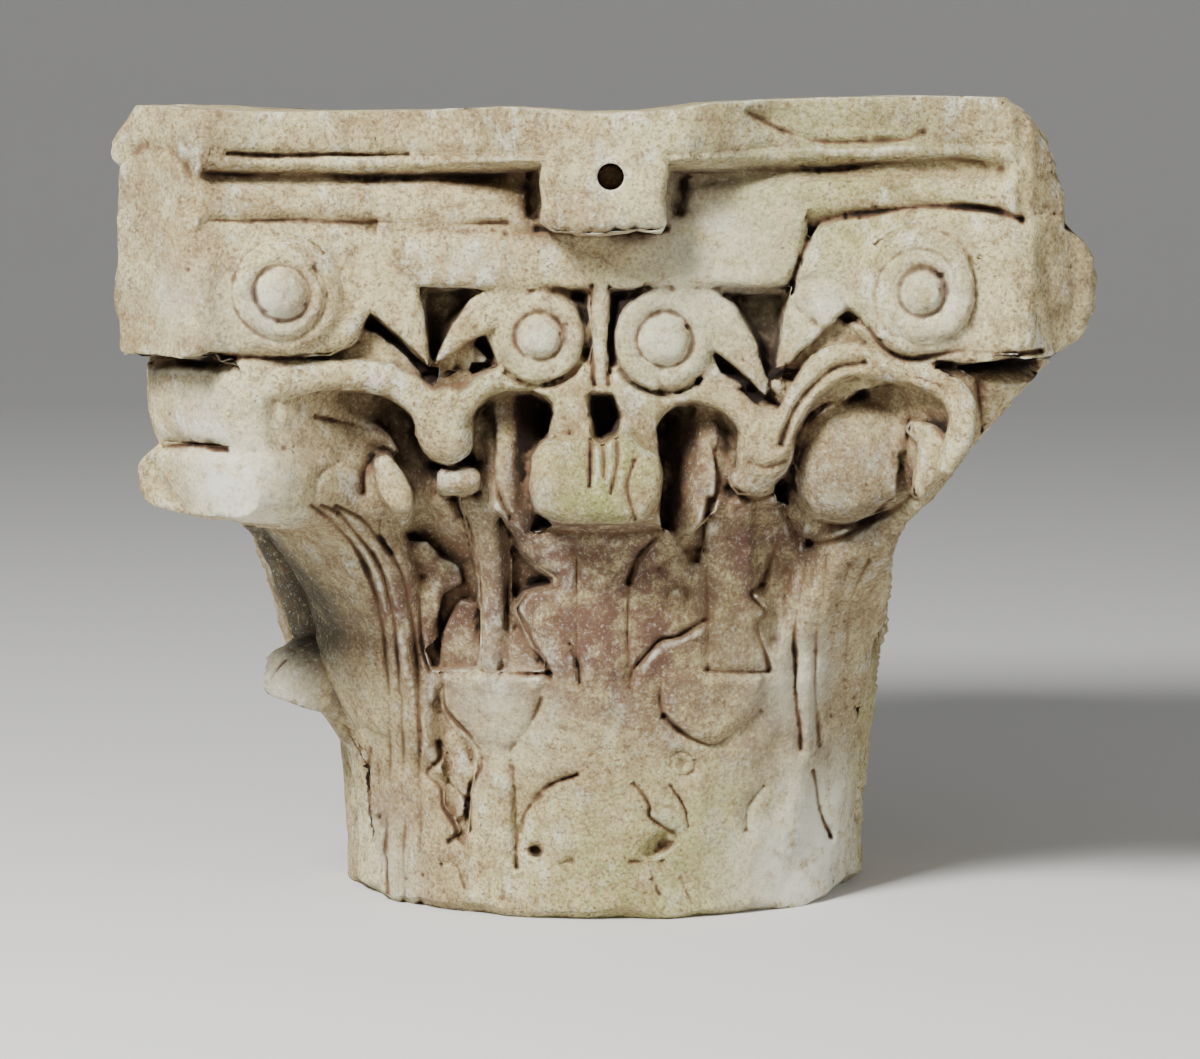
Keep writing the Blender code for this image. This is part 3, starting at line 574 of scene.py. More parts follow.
def stand_copies(form, azimuths):
    """Stands copies of a form round the axis."""
    places = mesh_object(form.name + " copies", [(0, 0, 0)] * len(azimuths), [], forms)
    values = places.data.attributes.new("azimuth", "FLOAT", "POINT")
    values.data.foreach_set("value", [math.radians(azimuth) for azimuth in azimuths])
    modifier = places.modifiers.new("copies", "NODES")
    modifier.node_group = COPIES
    set_input(modifier, "Form", form)
    set_input(modifier, "Stone", marble)


carve_face("front face", "front", ((0, 1), (0, 0)), (0,))
carve_face("left face", "plain", ((0, 90, 125, 178, 204, 230, 250, 270), (-2, -8, 8, 12, 18, 26, 28, 0)),
           (-90,))
carve_face("right face", "plain", ((0, 74, 126, 185, 214, 243, 270), (-1, -6, -10, -20, -15, -12, 0)), (90,))
carve_face("back face", "plain", ((0, 200, 240, 270), (-2, 4, 6, 0)), (180,))

# The corners: under each horn of the abacus the two volutes meet in one thick roll, and the tip of the
# corner leaf stands out below it. The right front one broke away and left a rough, slanting scar, and the
# right back one is worn short.
VOLUTE_LEVEL = 0.3905
VOLUTE_RADIUS = 0.0415


def loft(name, keys, side_at, square=1.0):
    """Closed form through rounded sections. A key is x, y, z, half width, half depth."""
    path = smoothed(keys, 8)
    centres = [Vector(key[:3]) for key in path]
    rings = []
    for n, centre in enumerate(centres):
        along = (centres[min(n + 1, len(centres) - 1)] - centres[max(n - 1, 0)]).normalized()
        side = side_at(centre)
        side = (side - along * side.dot(along)).normalized()
        deep = along.cross(side)
        ring = []
        for turn in np.linspace(0, 2 * math.pi, 48, endpoint=False):
            cosine = math.copysign(abs(math.cos(turn)) ** square, math.cos(turn))
            sine = math.copysign(abs(math.sin(turn)) ** square, math.sin(turn))
            ring.append(centre + side * path[n][3] * cosine + deep * path[n][4] * sine)
        rings.append(ring)
    return ringed(name, rings, kit)


def polar(azimuth, reach, level):
    """Point at an azimuth from the front, a distance from the axis and a height."""
    return Vector((reach * math.sin(azimuth), -reach * math.cos(azimuth), level))


def outward(spot):
    """Level direction away from the axis."""
    return Vector((spot.x, spot.y, 0.0)).normalized()


diagonal = math.radians(45)
across_corner = Vector((math.cos(diagonal), math.sin(diagonal), 0.0))
horn_reach = (HORN_ALONG + HORN_ACROSS) / math.sqrt(2)
horn_half = (HORN_ALONG - HORN_ACROSS) / math.sqrt(2)
roll_reach = horn_reach - VOLUTE_RADIUS
keys = []
for share, size in ((-1.0, 0.90), (-0.8, 1.0), (0.0, 0.97), (0.8, 1.0), (1.0, 0.90)):
    spot = polar(diagonal, roll_reach, VOLUTE_LEVEL) + across_corner * horn_half * share
    keys.append((*spot, VOLUTE_RADIUS * size, VOLUTE_RADIUS * size))
stand_copies(loft("corner roll", keys, outward), (0, 90, 180, 270))
inner_spot = polar(diagonal, 0.200, VOLUTE_LEVEL + 0.004)
outer_spot = polar(diagonal, roll_reach, VOLUTE_LEVEL + 0.002)
core = (horn_half * 0.95, VOLUTE_RADIUS * 0.92)
stand_copies(loft("corner core", [(*inner_spot, *core), (*outer_spot, *core)], lambda spot: across_corner),
             (0, 90, 180, 270))
LATERAL = Vector((1, 0, 0))


def strip(name, rows, half_width, azimuths, square=0.8):
    """Leaf strips in the plane of their midribs. A row is reach, level, share of the width, half depth."""
    keys = [(0.0, -reach, level, half_width * share, depth) for reach, level, share, depth in rows]
    stand_copies(loft(name, keys, lambda spot: LATERAL, square), azimuths)


strip("low tip", ((0.155, 0.140, 0.45, 0.022), (0.186, 0.141, 0.58, 0.027), (0.206, 0.134, 0.64, 0.029),
                  (0.211, 0.122, 0.58, 0.022)), 0.044, (-67.5, 157.5, -157.5))
body = ((0.190, 0.172, 0.70, 0.018), (0.222, 0.225, 0.78, 0.022), (0.256, 0.268, 0.90, 0.026))
strip("corner tip", body + ((0.318, 0.279, 1.0, 0.026), (0.343, 0.275, 0.95, 0.018)), 0.058,
      (-45, -135), 0.6)
strip("worn tip", body + ((0.298, 0.290, 0.80, 0.022), (0.316, 0.291, 0.68, 0.014)), 0.058, (135,), 0.7)
strip("corner strut", ((0.262, 0.282, 0.84, 0.046), (0.300, 0.315, 0.90, 0.046), (0.304, 0.356, 0.92, 0.048)),
      0.058, (-45, 135, -135), 0.5)
strip("broken corner", body[:2] + ((0.250, 0.270, 0.62, 0.036), (0.290, 0.330, 0.66, 0.044),
                                   (0.309, 0.360, 0.70, 0.046)), 0.058, (45,), 0.7)

# One block: all the forms are cut from the same stone, so they are merged into one skin and worn. Edges
# are rounded, the faces are pitted and bruised, and the bed is cut flat.
def block_tree():
    """Node tree that gathers the carved forms as one mesh."""
    tree = bpy.data.node_groups.new("gather forms", "GeometryNodeTree")
    tree.interface.new_socket("Geometry", in_out="INPUT", socket_type="NodeSocketGeometry")
    tree.interface.new_socket("Forms", in_out="INPUT", socket_type="NodeSocketCollection")
    tree.interface.new_socket("Stone", in_out="INPUT", socket_type="NodeSocketMaterial")
    tree.interface.new_socket("Geometry", in_out="OUTPUT", socket_type="NodeSocketGeometry")
    given, out = tree.nodes.new("NodeGroupInput"), tree.nodes.new("NodeGroupOutput")
    info = tree.nodes.new("GeometryNodeCollectionInfo")
    real, paint = tree.nodes.new("GeometryNodeRealizeInstances"), tree.nodes.new("GeometryNodeSetMaterial")
    tree.links.new(given.outputs["Forms"], info.inputs["Collection"])
    tree.links.new(info.outputs[0], real.inputs["Geometry"])
    tree.links.new(real.outputs["Geometry"], paint.inputs["Geometry"])
    tree.links.new(given.outputs["Stone"], paint.inputs["Material"])
    tree.links.new(paint.outputs["Geometry"], out.inputs["Geometry"])
    return tree


def weather_tree():
    """Node tree that bruises and pits the skin along its normals."""
    tree = bpy.data.node_groups.new("weather the stone", "GeometryNodeTree")
    tree.interface.new_socket("Geometry", in_out="INPUT", socket_type="NodeSocketGeometry")
    for name in ("Bruise depth", "Bruise size", "Grain depth", "Grain size", "Pit depth", "Pit size"):
        tree.interface.new_socket(name, in_out="INPUT", socket_type="NodeSocketFloat")
    tree.interface.new_socket("Stone", in_out="INPUT", socket_type="NodeSocketMaterial")
    tree.interface.new_socket("Geometry", in_out="OUTPUT", socket_type="NodeSocketGeometry")
    node, link = tree.nodes.new, tree.links.new
    given, out = node("NodeGroupInput"), node("NodeGroupOutput")

    def math_node(kind, a, b):
        """Math node on two sockets or numbers."""
        step = node("ShaderNodeMath")
        step.operation = kind
        for socket, value in zip(step.inputs, (a, b)):
            if isinstance(value, (int, float)):
                socket.default_value = value
            else:
                link(value, socket)
        return step.outputs[0]

    total = None
    for label, detail in (("Bruise", 3.0), ("Grain", 4.0)):
        noise = node("ShaderNodeTexNoise")
        link(math_node("DIVIDE", 1.0, given.outputs[label + " size"]), noise.inputs["Scale"])
        noise.inputs["Detail"].default_value = detail
        part = math_node("MULTIPLY", math_node("SUBTRACT", noise.outputs[0], 0.5),
                         given.outputs[label + " depth"])
        total = part if total is None else math_node("ADD", total, part)
    cells, patch = node("ShaderNodeTexVoronoi"), node("ShaderNodeTexNoise")
    link(math_node("DIVIDE", 1.0, given.outputs["Pit size"]), cells.inputs["Scale"])
    patch.inputs["Scale"].default_value = 22.0
    hole = math_node("SUBTRACT", 0.32, cells.outputs["Distance"])
    hole = math_node("MAXIMUM", hole, 0.0)
    where = math_node("MAXIMUM", math_node("SUBTRACT", patch.outputs[0], 0.50), 0.0)
    pit = math_node("MULTIPLY", math_node("MULTIPLY", hole, where), 20.0)
    pit = math_node("MULTIPLY", math_node("MINIMUM", pit, 1.0), given.outputs["Pit depth"])
    total = math_node("SUBTRACT", total, pit)
    normal, shift = node("GeometryNodeInputNormal"), node("ShaderNodeVectorMath")
    shift.operation = "SCALE"
    link(normal.outputs[0], shift.inputs[0])
    link(total, shift.inputs["Scale"])
    move, paint = node("GeometryNodeSetPosition"), node("GeometryNodeSetMaterial")
    link(given.outputs["Geometry"], move.inputs["Geometry"])
    link(shift.outputs[0], move.inputs["Offset"])
    link(move.outputs["Geometry"], paint.inputs["Geometry"])
    link(given.outputs["Stone"], paint.inputs["Material"])
    link(paint.outputs["Geometry"], out.inputs["Geometry"])
    return tree


def settled(thing):
    """Mesh that an object evaluates to."""
    bpy.context.view_layer.update()
    return bpy.data.meshes.new_from_object(thing.evaluated_get(bpy.context.evaluated_depsgraph_get()))


capital = bpy.data.objects.new("capital_marble", bpy.data.meshes.new("capital_marble"))
bpy.context.scene.collection.objects.link(capital)
gather = capital.modifiers.new("forms", "NODES")
gather.node_group = block_tree()
set_input(gather, "Forms", forms)
set_input(gather, "Stone", marble)
skin = capital.modifiers.new("one skin", "REMESH")
skin.mode = "VOXEL"
skin.voxel_size = GRAIN
rounding = capital.modifiers.new("worn edges", "SMOOTH")
rounding.factor = 0.5
rounding.iterations = 2
capital.data = settled(capital)
capital.modifiers.clear()
for helper in list(forms.objects) + list(kit.objects):
    bpy.data.objects.remove(helper)

# The breaks: what was knocked off the horns, the rolls, the block, the top edge and the foot is pressed
# back to rough planes, in metres.
spots = np.empty(len(capital.data.vertices) * 3)
capital.data.vertices.foreach_get("co", spots)
spots = spots.reshape(-1, 3)


def placed():
    """Places and directions of all the points of the stone."""
    total = len(capital.data.vertices)
    place, facing = np.empty(total * 3), np.empty(total * 3)
    capital.data.vertices.foreach_get("co", place)
    capital.data.vertices.foreach_get("normal", facing)
    return place.reshape(-1, 3), facing.reshape(-1, 3)


def press(where, at, towards):
    """Presses what stands beyond a plane back to it, inside a zone."""
    normal = np.array(towards) / np.linalg.norm(towards)
    beyond = np.where(where, np.maximum((spots - np.array(at)) @ normal, 0.0), 0.0)
    spots[:] -= beyond[:, None] * normal


right_horn = (spots[:, 2] > 0.4295) & (spots[:, 0] > 0.19) & (spots[:, 1] < -0.13)
for across, level, lean in ((0.2685, 0.440, 0.0), (0.2673, 0.456, 0.27), (0.2640, 0.468, 0.52),
                            (0.2567, 0.482, 1.1), (0.2330, 0.498, 2.2)):
    press(right_horn, (across, -0.25, level), (1.0, -0.12, lean))
left_horn = (spots[:, 2] > 0.450) & (spots[:, 0] < -0.19) & (spots[:, 1] < -0.10)
press(left_horn, (-0.2745, -0.25, 0.500), (-0.834, -0.10, 0.551))
press(left_horn, (-0.2900, -0.24, 0.4790), (-0.95, -0.10, 0.30))
back_horn = (spots[:, 2] > 0.440) & (spots[:, 0] > 0.15) & (spots[:, 1] > 0.15)
press(back_horn, (0.255, 0.255, 0.486), (0.75, 0.55, 0.65))
press(spots[:, 2] > 0.44, (-0.262, 0.262, 0.490), (-0.5, 0.6, 0.75))
right_roll = (spots[:, 2] > 0.335) & (spots[:, 2] < 0.4305) & (spots[:, 0] > 0.215) & (spots[:, 1] < -0.12)
for across, level, lean in ((0.2890, 0.400, 0.15), (0.2850, 0.412, 0.6), (0.2770, 0.422, 1.4),
                            (0.2885, 0.376, -0.15), (0.2840, 0.362, -0.7), (0.2740, 0.352, -1.6)):
    press(right_roll, (across, -0.25, level), (1.0, -0.12, lean))
right_block = (spots[:, 2] > 0.44) & (spots[:, 0] > 0.20) & (np.abs(spots[:, 1]) < 0.15)
press(right_block, (0.2510, 0.0, 0.500), (1.0, 0.0, 1.15))
far_horn = (spots[:, 2] > 0.4295) & (spots[:, 0] > 0.17) & (spots[:, 1] > 0.10)
press(far_horn, (0.2580, 0.25, 0.450), (1.0, 0.15, 0.35))
press(far_horn, (0.2420, 0.25, 0.486), (1.0, 0.30, 1.3))
# What is left of the two sides, seen from in front: how far the outline of the drawing is from its middle
# at each level, in mm. What stood further out has worn or broken away.
RIGHT_LEVELS = (86, 95, 122, 149, 173, 182, 206, 230, 249, 262, 298, 336, 351, 357, 364, 379, 405, 418,
                427, 431, 442, 460, 479, 491, 500)
RIGHT_REACH = (156, 163, 163, 163, 166, 170, 171, 173, 181, 196, 223, 257, 272, 280, 289, 294, 297, 293,
               284, 276, 275, 270, 263, 252, 240)
LEFT_LEVELS = (10, 40, 118, 121, 127, 134, 147, 158, 172, 176, 181, 202, 223, 242, 250, 252, 259, 268,
               280, 345, 350, 394, 433, 473, 485, 500)
LEFT_REACH = (160, 162, 161, 185, 198, 204, 206, 206, 203, 199, 200, 202, 207, 214, 224, 260, 279, 286,
              290, 291, 296, 300, 302, 302, 294, 281)
for side, levels, limits in ((1, RIGHT_LEVELS, RIGHT_REACH), (-1, LEFT_LEVELS, LEFT_REACH)):
    scale = (EYE - DRAWING) / (EYE + spots[:, 1] * 1000)
    up = 500 - (500 - spots[:, 2] * 1000) * scale
    ragged = 1.2 * np.sin(up * 0.31 + spots[:, 1] * 90) + 0.8 * np.sin(up * 0.77 - spots[:, 1] * 160)
    beyond = np.maximum(side * spots[:, 0] * 1000 * scale - np.interp(up, levels, limits) - ragged, 0)
    spots[:, 0] -= np.where(side * spots[:, 0] > 0.12, side * beyond / scale / 1000, 0)
TOP_ACROSS = (-0.29, -0.27, -0.20, -0.14, -0.10, -0.06, -0.02, 0.0, 0.03, 0.06, 0.12, 0.18, 0.24)
TOP_LIFT = (-0.001, 0.0, -0.004, -0.0035, -0.003, -0.001, -0.004, -0.005, -0.003, 0.001, 0.004, 0.0055, 0.004)
uneven = np.interp(spots[:, 0], TOP_ACROSS, TOP_LIFT)
spots[:, 2] += uneven * np.clip((spots[:, 2] - 0.455) / 0.045, 0, 1)
azimuth = np.arctan2(spots[:, 0], -spots[:, 1])
reach = np.hypot(spots[:, 0], spots[:, 1])
chip = 0.0035 + 0.0022 * np.sin(azimuth * 5 + 1) + 0.002 * np.sin(azimuth * 11 + 2)
chip += 0.0012 * np.sin(azimuth * 23)
chip += 0.005 * np.exp(-(((azimuth + 0.42) / 0.22) ** 2))
chip += 0.006 * np.exp(-(((azimuth - 1.25) / 0.20) ** 2))
beyond = np.maximum(reach * 0.6 - spots[:, 2] * 0.8 - 0.1025 + chip * 0.8, 0.0) * (spots[:, 2] < 0.05)
spots[:, :2] *= (1 - beyond * 0.6 / np.maximum(reach, 0.01))[:, None]
spots[:, 2] += beyond * 0.8
capital.data.vertices.foreach_set("co", spots.ravel())
capital.data.update()

# The cut lines: veins, ribs, edges of leaves, windings and mouldings, all drawn with the corner of a
# chisel. They are given on the same elevation, in mm: half width, depth and the places they pass.
LEAF_LINES = (
    (2.0, 4.5, (-179, 259), (-166, 248), (-155, 236), (-147, 222), (-140, 206), (-137, 190), (-134, 174),
     (-132, 156), (-131, 138), (-131, 113), (-132, 78), (-134, 60), (-133, 15)),
    (1.8, 4.0, (-173, 259), (-161, 252), (-150, 239), (-141, 227), (-134, 213), (-131, 197), (-128, 181),
     (-126, 163), (-125, 145), (-123, 128), (-123, 15)),
    (1.9, 4.0, (-164, 258), (-148, 250), (-138, 239), (-129, 227), (-122, 213), (-120, 199), (-117, 181),
     (-115, 163), (-114, 145), (-113, 122), (-113, 15)),
    (2.2, 5.0, (-111, 214), (-113, 202), (-113, 188), (-111, 170), (-108, 158)),
    (1.8, 5.0, (-92, 262), (-86, 250), (-82, 238), (-78, 220), (-76, 202), (-75, 180), (-74, 158)),
    (1.4, 3.0, (-58, 252), (-58, 237), (-60, 202), (-59, 160)),
    (1.8, 4.5, (-63, 250), (-54, 238), (-49, 227), (-38, 220), (-28, 215), (-28, 208), (-38, 211),
     (-47, 206), (-54, 195), (-49, 184), (-44, 174), (-37, 163), (-34, 154)),
    (1.6, 2.5, (-84, 211), (-95, 195), (-99, 181), (-102, 172)),
    (1.5, 3.0, (-117, 238), (-119, 228), (-113, 222), (-112, 215)),
    (1.5, 3.0, (-136, 250), (-136, 238), (-131, 230)),
    (2.0, 5.0, (-99, 149), (-98, 135), (-92, 126), (-83, 117), (-76, 106), (-77, 97), (-82, 87), (-83, 73),
     (-82, 60)),
    (1.8, 4.5, (-102, 113), (-100, 104), (-108, 94), (-100, 85), (-99, 74), (-92, 64), (-90, 57),
     (-95, 53)),
    (1.3, 2.5, (-95, 90), (-84, 78)),
    (1.5, 3.0, (-86, 24), (-93, 40), (-102, 37), (-99, 22)),
    (1.5, 3.5, (-101, 157), (-34, 156)),
    (2.0, 2.0, (-40, 140), (-45, 126), (-56, 112)),
    (1.1, 1.8, (-76, 110), (-58, 109)),
    (1.1, 1.6, (-75, 104), (-58, 103)),
    (1.5, 3.0, (-57, 99), (-56, 85), (-55, 69), (-55, 48)),
    (2.2, 1.6, (-70, 74), (-70, 18)),
    (2.2, 1.6, (-62, 74), (-62, 18)),
    (1.8, 4.0, (-17, 94), (-33, 87), (-45, 76), (-52, 64), (-55, 50), (-54, 37)),
    (1.4, 2.5, (-38, 80), (-49, 69), (-52, 58)),
    (1.4, 3.5, (-155, 115), (-156, 60), (-154, 15)),
    (1.4, 3.5, (-150, 110), (-151, 60), (-149, 15)),
    (1.9, 4.5, (-143, 110), (-146, 95), (-144, 75), (-143, 58)),
    (1.7, 4.0, (-139, 100), (-138, 85), (-137, 62)),
    (2.0, 4.0, (-175, 312), (-153, 308), (-139, 302), (-129, 290)),
    (1.7, 4.0, (-147, 266), (-145, 280), (-139, 288)),
    (1.7, 2.5, (-177, 262), (-173, 278), (-161, 286)),
    (1.7, 4.0, (-68, 312), (-67, 284), (-63, 262), (-55, 250)),
    (1.8, 5.0, (-104, 285), (-93, 281), (-81, 286)),
    (1.8, 4.0, (-99, 265), (-87, 262), (-76, 266)),
    (1.7, 4.5, (-20, 232), (-17, 220), (-17, 188), (-16, 150)),
    (1.3, 2.5, (-31, 188), (-21, 174), (-17, 160)),
    (1.7, 3.0, (21, 223), (14, 211), (13, 188), (14, 155)),
    (3.0, 5.0, (-42, 243), (0, 242), (32, 243)),
    (1.8, 3.5, (-8, 298), (-9, 284), (-10, 270)),
    (1.8, 3.0, (-1, 296), (-1, 276)),
    (1.8, 3.5, (7, 299), (7, 284), (4, 266)),
    (1.8, 4.5, (17, 286), (14, 270), (18, 251)))
SCROLL_LINES = (
    (2.2, 6.0, (-240, 349), (-200, 348), (-165, 350), (-150, 358)),
    (3.0, 9.0, (-296, 345), (-262, 345), (-225, 347)),
    (5.0, 2.5, (-283, 411), (-281, 385), (-273, 363), (-261, 355)),
    (4.0, 2.0, (-293, 387), (-285, 365), (-271, 351)),
    (2.0, 5.0, (-267, 294), (-250, 295), (-229, 293)),
    (4.0, 4.5, (-273, 284), (-267, 268), (-255, 256)),
    (3.5, 3.5, (-201, 322), (-200, 300), (-196, 292)),
    (1.5, 4.0, (-227, 471), (-180, 470), (-119, 471)),
    (2.4, 4.5, (-241, 459), (-200, 458), (-150, 457), (-45, 457)),
    (1.8, 5.0, (-8, 391), (-9, 360), (-7, 332)),
    (1.9, 3.0, (-243, 431), (-150, 430), (-60, 429)),
    (4.5, 4.0, (-128, 425), (-80, 424), (-45, 424)),
    (3.5, 4.5, (-267, 475), (-255, 467), (-248, 455), (-246, 437)),
    (5.0, 3.0, (-84, 495), (-72, 484)),
    (2.6, 5.0, (-41, 426), (-6, 423), (36, 426)))
RIGHT_LINES = (
    (1.9, 4.5, (31, 238), (19, 225), (13, 211)),
    (1.7, 4.0, (58, 232), (44, 229), (33, 220)),
    (1.8, 4.5, (15, 148), (17, 159), (24, 168), (33, 177), (44, 179), (60, 188)),
    (1.8, 4.5, (63, 262), (60, 245), (60, 223), (62, 202), (63, 159)),
    (1.9, 4.0, (108, 262), (104, 235), (96, 212), (88, 204), (97, 193), (92, 186), (97, 170), (99, 158)),
    (3.2, 7.0, (108, 257), (115, 243), (124, 236)),
    (2.2, 5.0, (124, 236), (141, 238), (157, 246), (173, 262)),
    (1.5, 3.0, (62, 157), (97, 157)),
    (1.9, 4.0, (35, 129), (47, 119), (65, 113), (79, 120), (95, 133)),
    (1.4, 2.5, (34, 150), (33, 138), (35, 129)),
    (1.8, 5.0, (3, 391), (2, 360), (1, 332)),
    (1.3, 2.5, (54, 101), (52, 96), (47, 94), (42, 96), (40, 101), (42, 106), (47, 108), (52, 106),
     (54, 101)),
    (1.9, 5.5, (17, 88), (26, 76), (28, 67), (42, 58), (43, 53), (33, 49)),
    (1.6, 4.0, (40, 87), (49, 74), (51, 62)),
    (1.7, 4.0, (97, 87), (86, 73), (85, 60)),
    (1.6, 4.0, (127, 96), (130, 75), (138, 55)),
    (1.5, 3.5, (150, 142), (156, 126), (155, 112)),
    (2.0, 4.0, (122, 225), (118, 200), (115, 170), (116, 140), (119, 110)),
    (2.0, 4.0, (160, 225), (150, 205), (146, 170), (146, 135)),
    (1.8, 3.5, (134, 228), (131, 200), (128, 170), (128, 140), (130, 112)),
    (1.6, 3.0, (147, 222), (141, 200), (137, 165), (137, 130)),
    (1.6, 3.5, (15, 40), (33, 41), (44, 47)),
    (1.5, 2.5, (27, 35), (33, 20)),
    (1.5, 2.5, (46, 30), (52, 14)),
    (3.0, 4.5, (87, 495), (100, 487), (128, 479), (148, 477), (179, 480), (190, 484)),
    (7.0, 4.5, (99, 494), (128, 487), (160, 486), (190, 489)),
    (2.2, 4.5, (46, 454), (56, 461), (108, 462), (140, 461), (169, 466), (226, 466)),
    (2.2, 6.0, (112, 388), (116, 405), (126, 425), (142, 433), (169, 437), (198, 439), (230, 438),
     (250, 431)),
    (2.2, 6.0, (155, 372), (169, 354), (185, 348), (200, 350), (220, 352), (251, 351), (262, 352)),
    (6.0, 2.5, (223, 405), (226, 382), (222, 366)),
    (5.0, 2.5, (279, 419), (283, 392), (279, 364)),
    (3.0, 5.0, (106, 296), (118, 322), (136, 340), (156, 345)),
    (1.4, 2.5, (163, 334), (185, 337), (202, 331)),
    (2.2, 5.0, (222, 345), (226, 321), (228, 305)),
    (1.8, 5.0, (87, 285), (97, 282), (108, 285)),
    (2.2, 5.5, (75, 270), (91, 262), (108, 270)),
    (1.6, 4.0, (67, 292), (69, 274), (63, 253)),
    (1.9, 4.0, (150, 325), (128, 316), (116, 296), (114, 272)),
    (2.2, 5.0, (114, 262), (128, 250), (148, 246), (172, 254), (184, 264)),
    (1.8, 4.0, (184, 310), (182, 285), (188, 264)))


def score_spiral(face, across, up, radius, eye, spin, laps):
    """The windings of a scroll: a ring round the eye and a line that winds out from it."""
    x, z = (face.u - across) * spin, face.v - up
    far = np.hypot(x, z)
    turn = (np.arctan2(z, x) / (2 * math.pi) + 0.62) % 1.0
    face.deep = face.deep - 3.4 * np.exp(-(((far - eye - 2.5) / 3.0) ** 2))
    for lap in laps:
        winding = eye + 2.0 + (radius - eye) * 0.5 * (turn + lap)
        fade = np.clip((turn + lap - 0.35) * 1.2, 0, 1)
        face.deep = face.deep - 3.4 * fade * np.exp(-(((far - winding) / 2.8) ** 2)) * (far < radius + 4)


FINE_LINE = 2.8
carved = np.zeros(len(spots))
_, facing = placed()
for azimuth in (0, -90, 90, 180):
    cosine, sine = math.cos(math.radians(azimuth)), math.sin(math.radians(azimuth))
    forward = spots[:, 0] * sine - spots[:, 1] * cosine
    towards = facing[:, 0] * sine - facing[:, 1] * cosine
    near = (forward > 0.10) & (towards > 0.15)
    if azimuth:
        near &= (spots[:, 1] > -0.105) | (spots[:, 2] > 0.30)
    scale = (EYE - DRAWING) / (EYE - forward[near] * 1000)
    across = (spots[near, 0] * cosine + spots[near, 1] * sine) * 1000 * scale
    up = 500 - (500 - spots[near, 2] * 1000) * scale
    drift = 0.5 * np.sin(across * 0.09 + up * 0.05) + 0.4 * np.sin(up * 0.15 - across * 0.06)
    face = Drawing(across + drift, up + 0.5 * np.sin(across * 0.10 - up * 0.05 + 1))
    face.deep = np.full(face.u.shape, 100.0)
    worn = 0.62 + 0.22 * np.sin(across * 0.083 + up * 0.031) + 0.16 * np.sin(up * 0.11 - across * 0.05 + 2)
    lines = LEAF_LINES + SCROLL_LINES
    if azimuth == 0:
        lines = lines + RIGHT_LINES
    else:
        face.u = -np.abs(face.u) - 2
    for half, depth, *points in lines:
        spread = 1.0 if half > FINE_LINE else 0.34
        face.ridge(points, half / spread, -depth * spread)
    if azimuth == 0:
        score_spiral(face, 191, 388, 38.0, 12.0, 1, (0.0, 1.0))
        score_spiral(face, 36, 359, 26.0, 14.0, 1, ())
    score_spiral(face, -195, 387, 32.0, 14.0, -1, (1.0,))
    score_spiral(face, -40, 361, 24.0, 12.0, -1, ())
    shaded = face.deep.copy()
    for half, depth, *points in lines:
        if half < FINE_LINE:
            face.ridge(points, half, -depth)
    facing_share = np.clip((towards[near] - 0.15) * 3, 0, 1)
    cut = (100 - shaded + (shaded - face.deep) * worn) * facing_share
    spots[near, 0] -= sine * cut / 1000
    spots[near, 1] += cosine * cut / 1000
    carved[near] = np.maximum(carved[near], (shaded - face.deep) * worn * facing_share)
capital.data.vertices.foreach_set("co", spots.ravel())
capital.data.update()

# The weather: rain and frost have bruised and pitted the whole skin. The drilled hole in the block is made
# round again after that, because the pin hole is the sharpest thing left on the stone.
weather = capital.modifiers.new("weather", "NODES")
weather.node_group = weather_tree()
for name, value in (("Bruise depth", 0.0036), ("Bruise size", 0.032), ("Grain depth", 0.0013),
                    ("Grain size", 0.008), ("Pit depth", 0.0016), ("Pit size", 0.0075), ("Stone", marble)):
    set_input(weather, name, value)
capital.data = settled(capital)
capital.modifiers.clear()


def sunk_under(iterations):
    """Distance of each place under a skin smoothed by so many passes, in mm."""
    spots, facing = placed()
    soft = capital.modifiers.new("soft", "SMOOTH")
    soft.factor = 0.5
    soft.iterations = iterations
    skin = settled(capital)
    capital.modifiers.clear()
    moved = np.empty(len(skin.vertices) * 3)
    skin.vertices.foreach_get("co", moved)
    return ((moved.reshape(-1, 3) - spots) * facing).sum(axis=1) * 1000


def keep(name, values):
    """Keeps a value for each place of the stone."""
    column = capital.data.attributes.new(name, "FLOAT", "POINT")
    column.data.foreach_set("value", np.clip(values, 0, 1).astype(np.float32))


BORE_RADIUS = 0.0078
BORE_FRONT = -0.255
MOST_FACES = 196000
spots, facing = placed()
bore = np.array((0.0029, 0.4586))
wall = spots[:, (0, 2)] - bore
far = np.hypot(wall[:, 0], wall[:, 1])
inside = (far < 0.0115) & (spots[:, 1] < -0.262) & (np.abs(facing[:, 1]) < 0.8)
wall[inside] *= (BORE_RADIUS / np.maximum(far[inside], 0.001))[:, None]
spots[:, (0, 2)] = bore + wall
capital.data.vertices.foreach_set("co", spots.ravel())
capital.data.update()

# What the skin remembers for its colours: how deep each place lies in a cut or a hollow and how much open
# sky it sees, which are painted into the colour as shade. Flat places that the front view doesn't show are
# then left with fewer faces.
fine, broad = sunk_under(16), sunk_under(200)
keep("crack", 0.5 + fine * 0.30)
keep("line", carved / 5)
keep("sunk", 0.5 + broad * 0.08)
spots, facing = placed()
plain = capital.vertex_groups.new(name="plain")
unseen = np.clip(0.50 + facing[:, 1] * 1.2 + (np.abs(facing[:, 2]) > 0.93) * 0.6, 0.10, 1.0)
unseen = np.clip(unseen - np.clip(np.abs(fine) - 0.25, 0, 0.5) * 0.3 - carved * 0.03, 0.04, 1.0)
unseen[np.hypot(*(spots[:, (0, 2)] - bore).T) + (spots[:, 1] > BORE_FRONT) < 0.016] = 0.0
for level in range(0, 11):
    members = np.nonzero(np.round(unseen * 10) == level)[0]
    plain.add(members.tolist(), level / 10, "REPLACE")
thin = capital.modifiers.new("fewer faces", "DECIMATE")
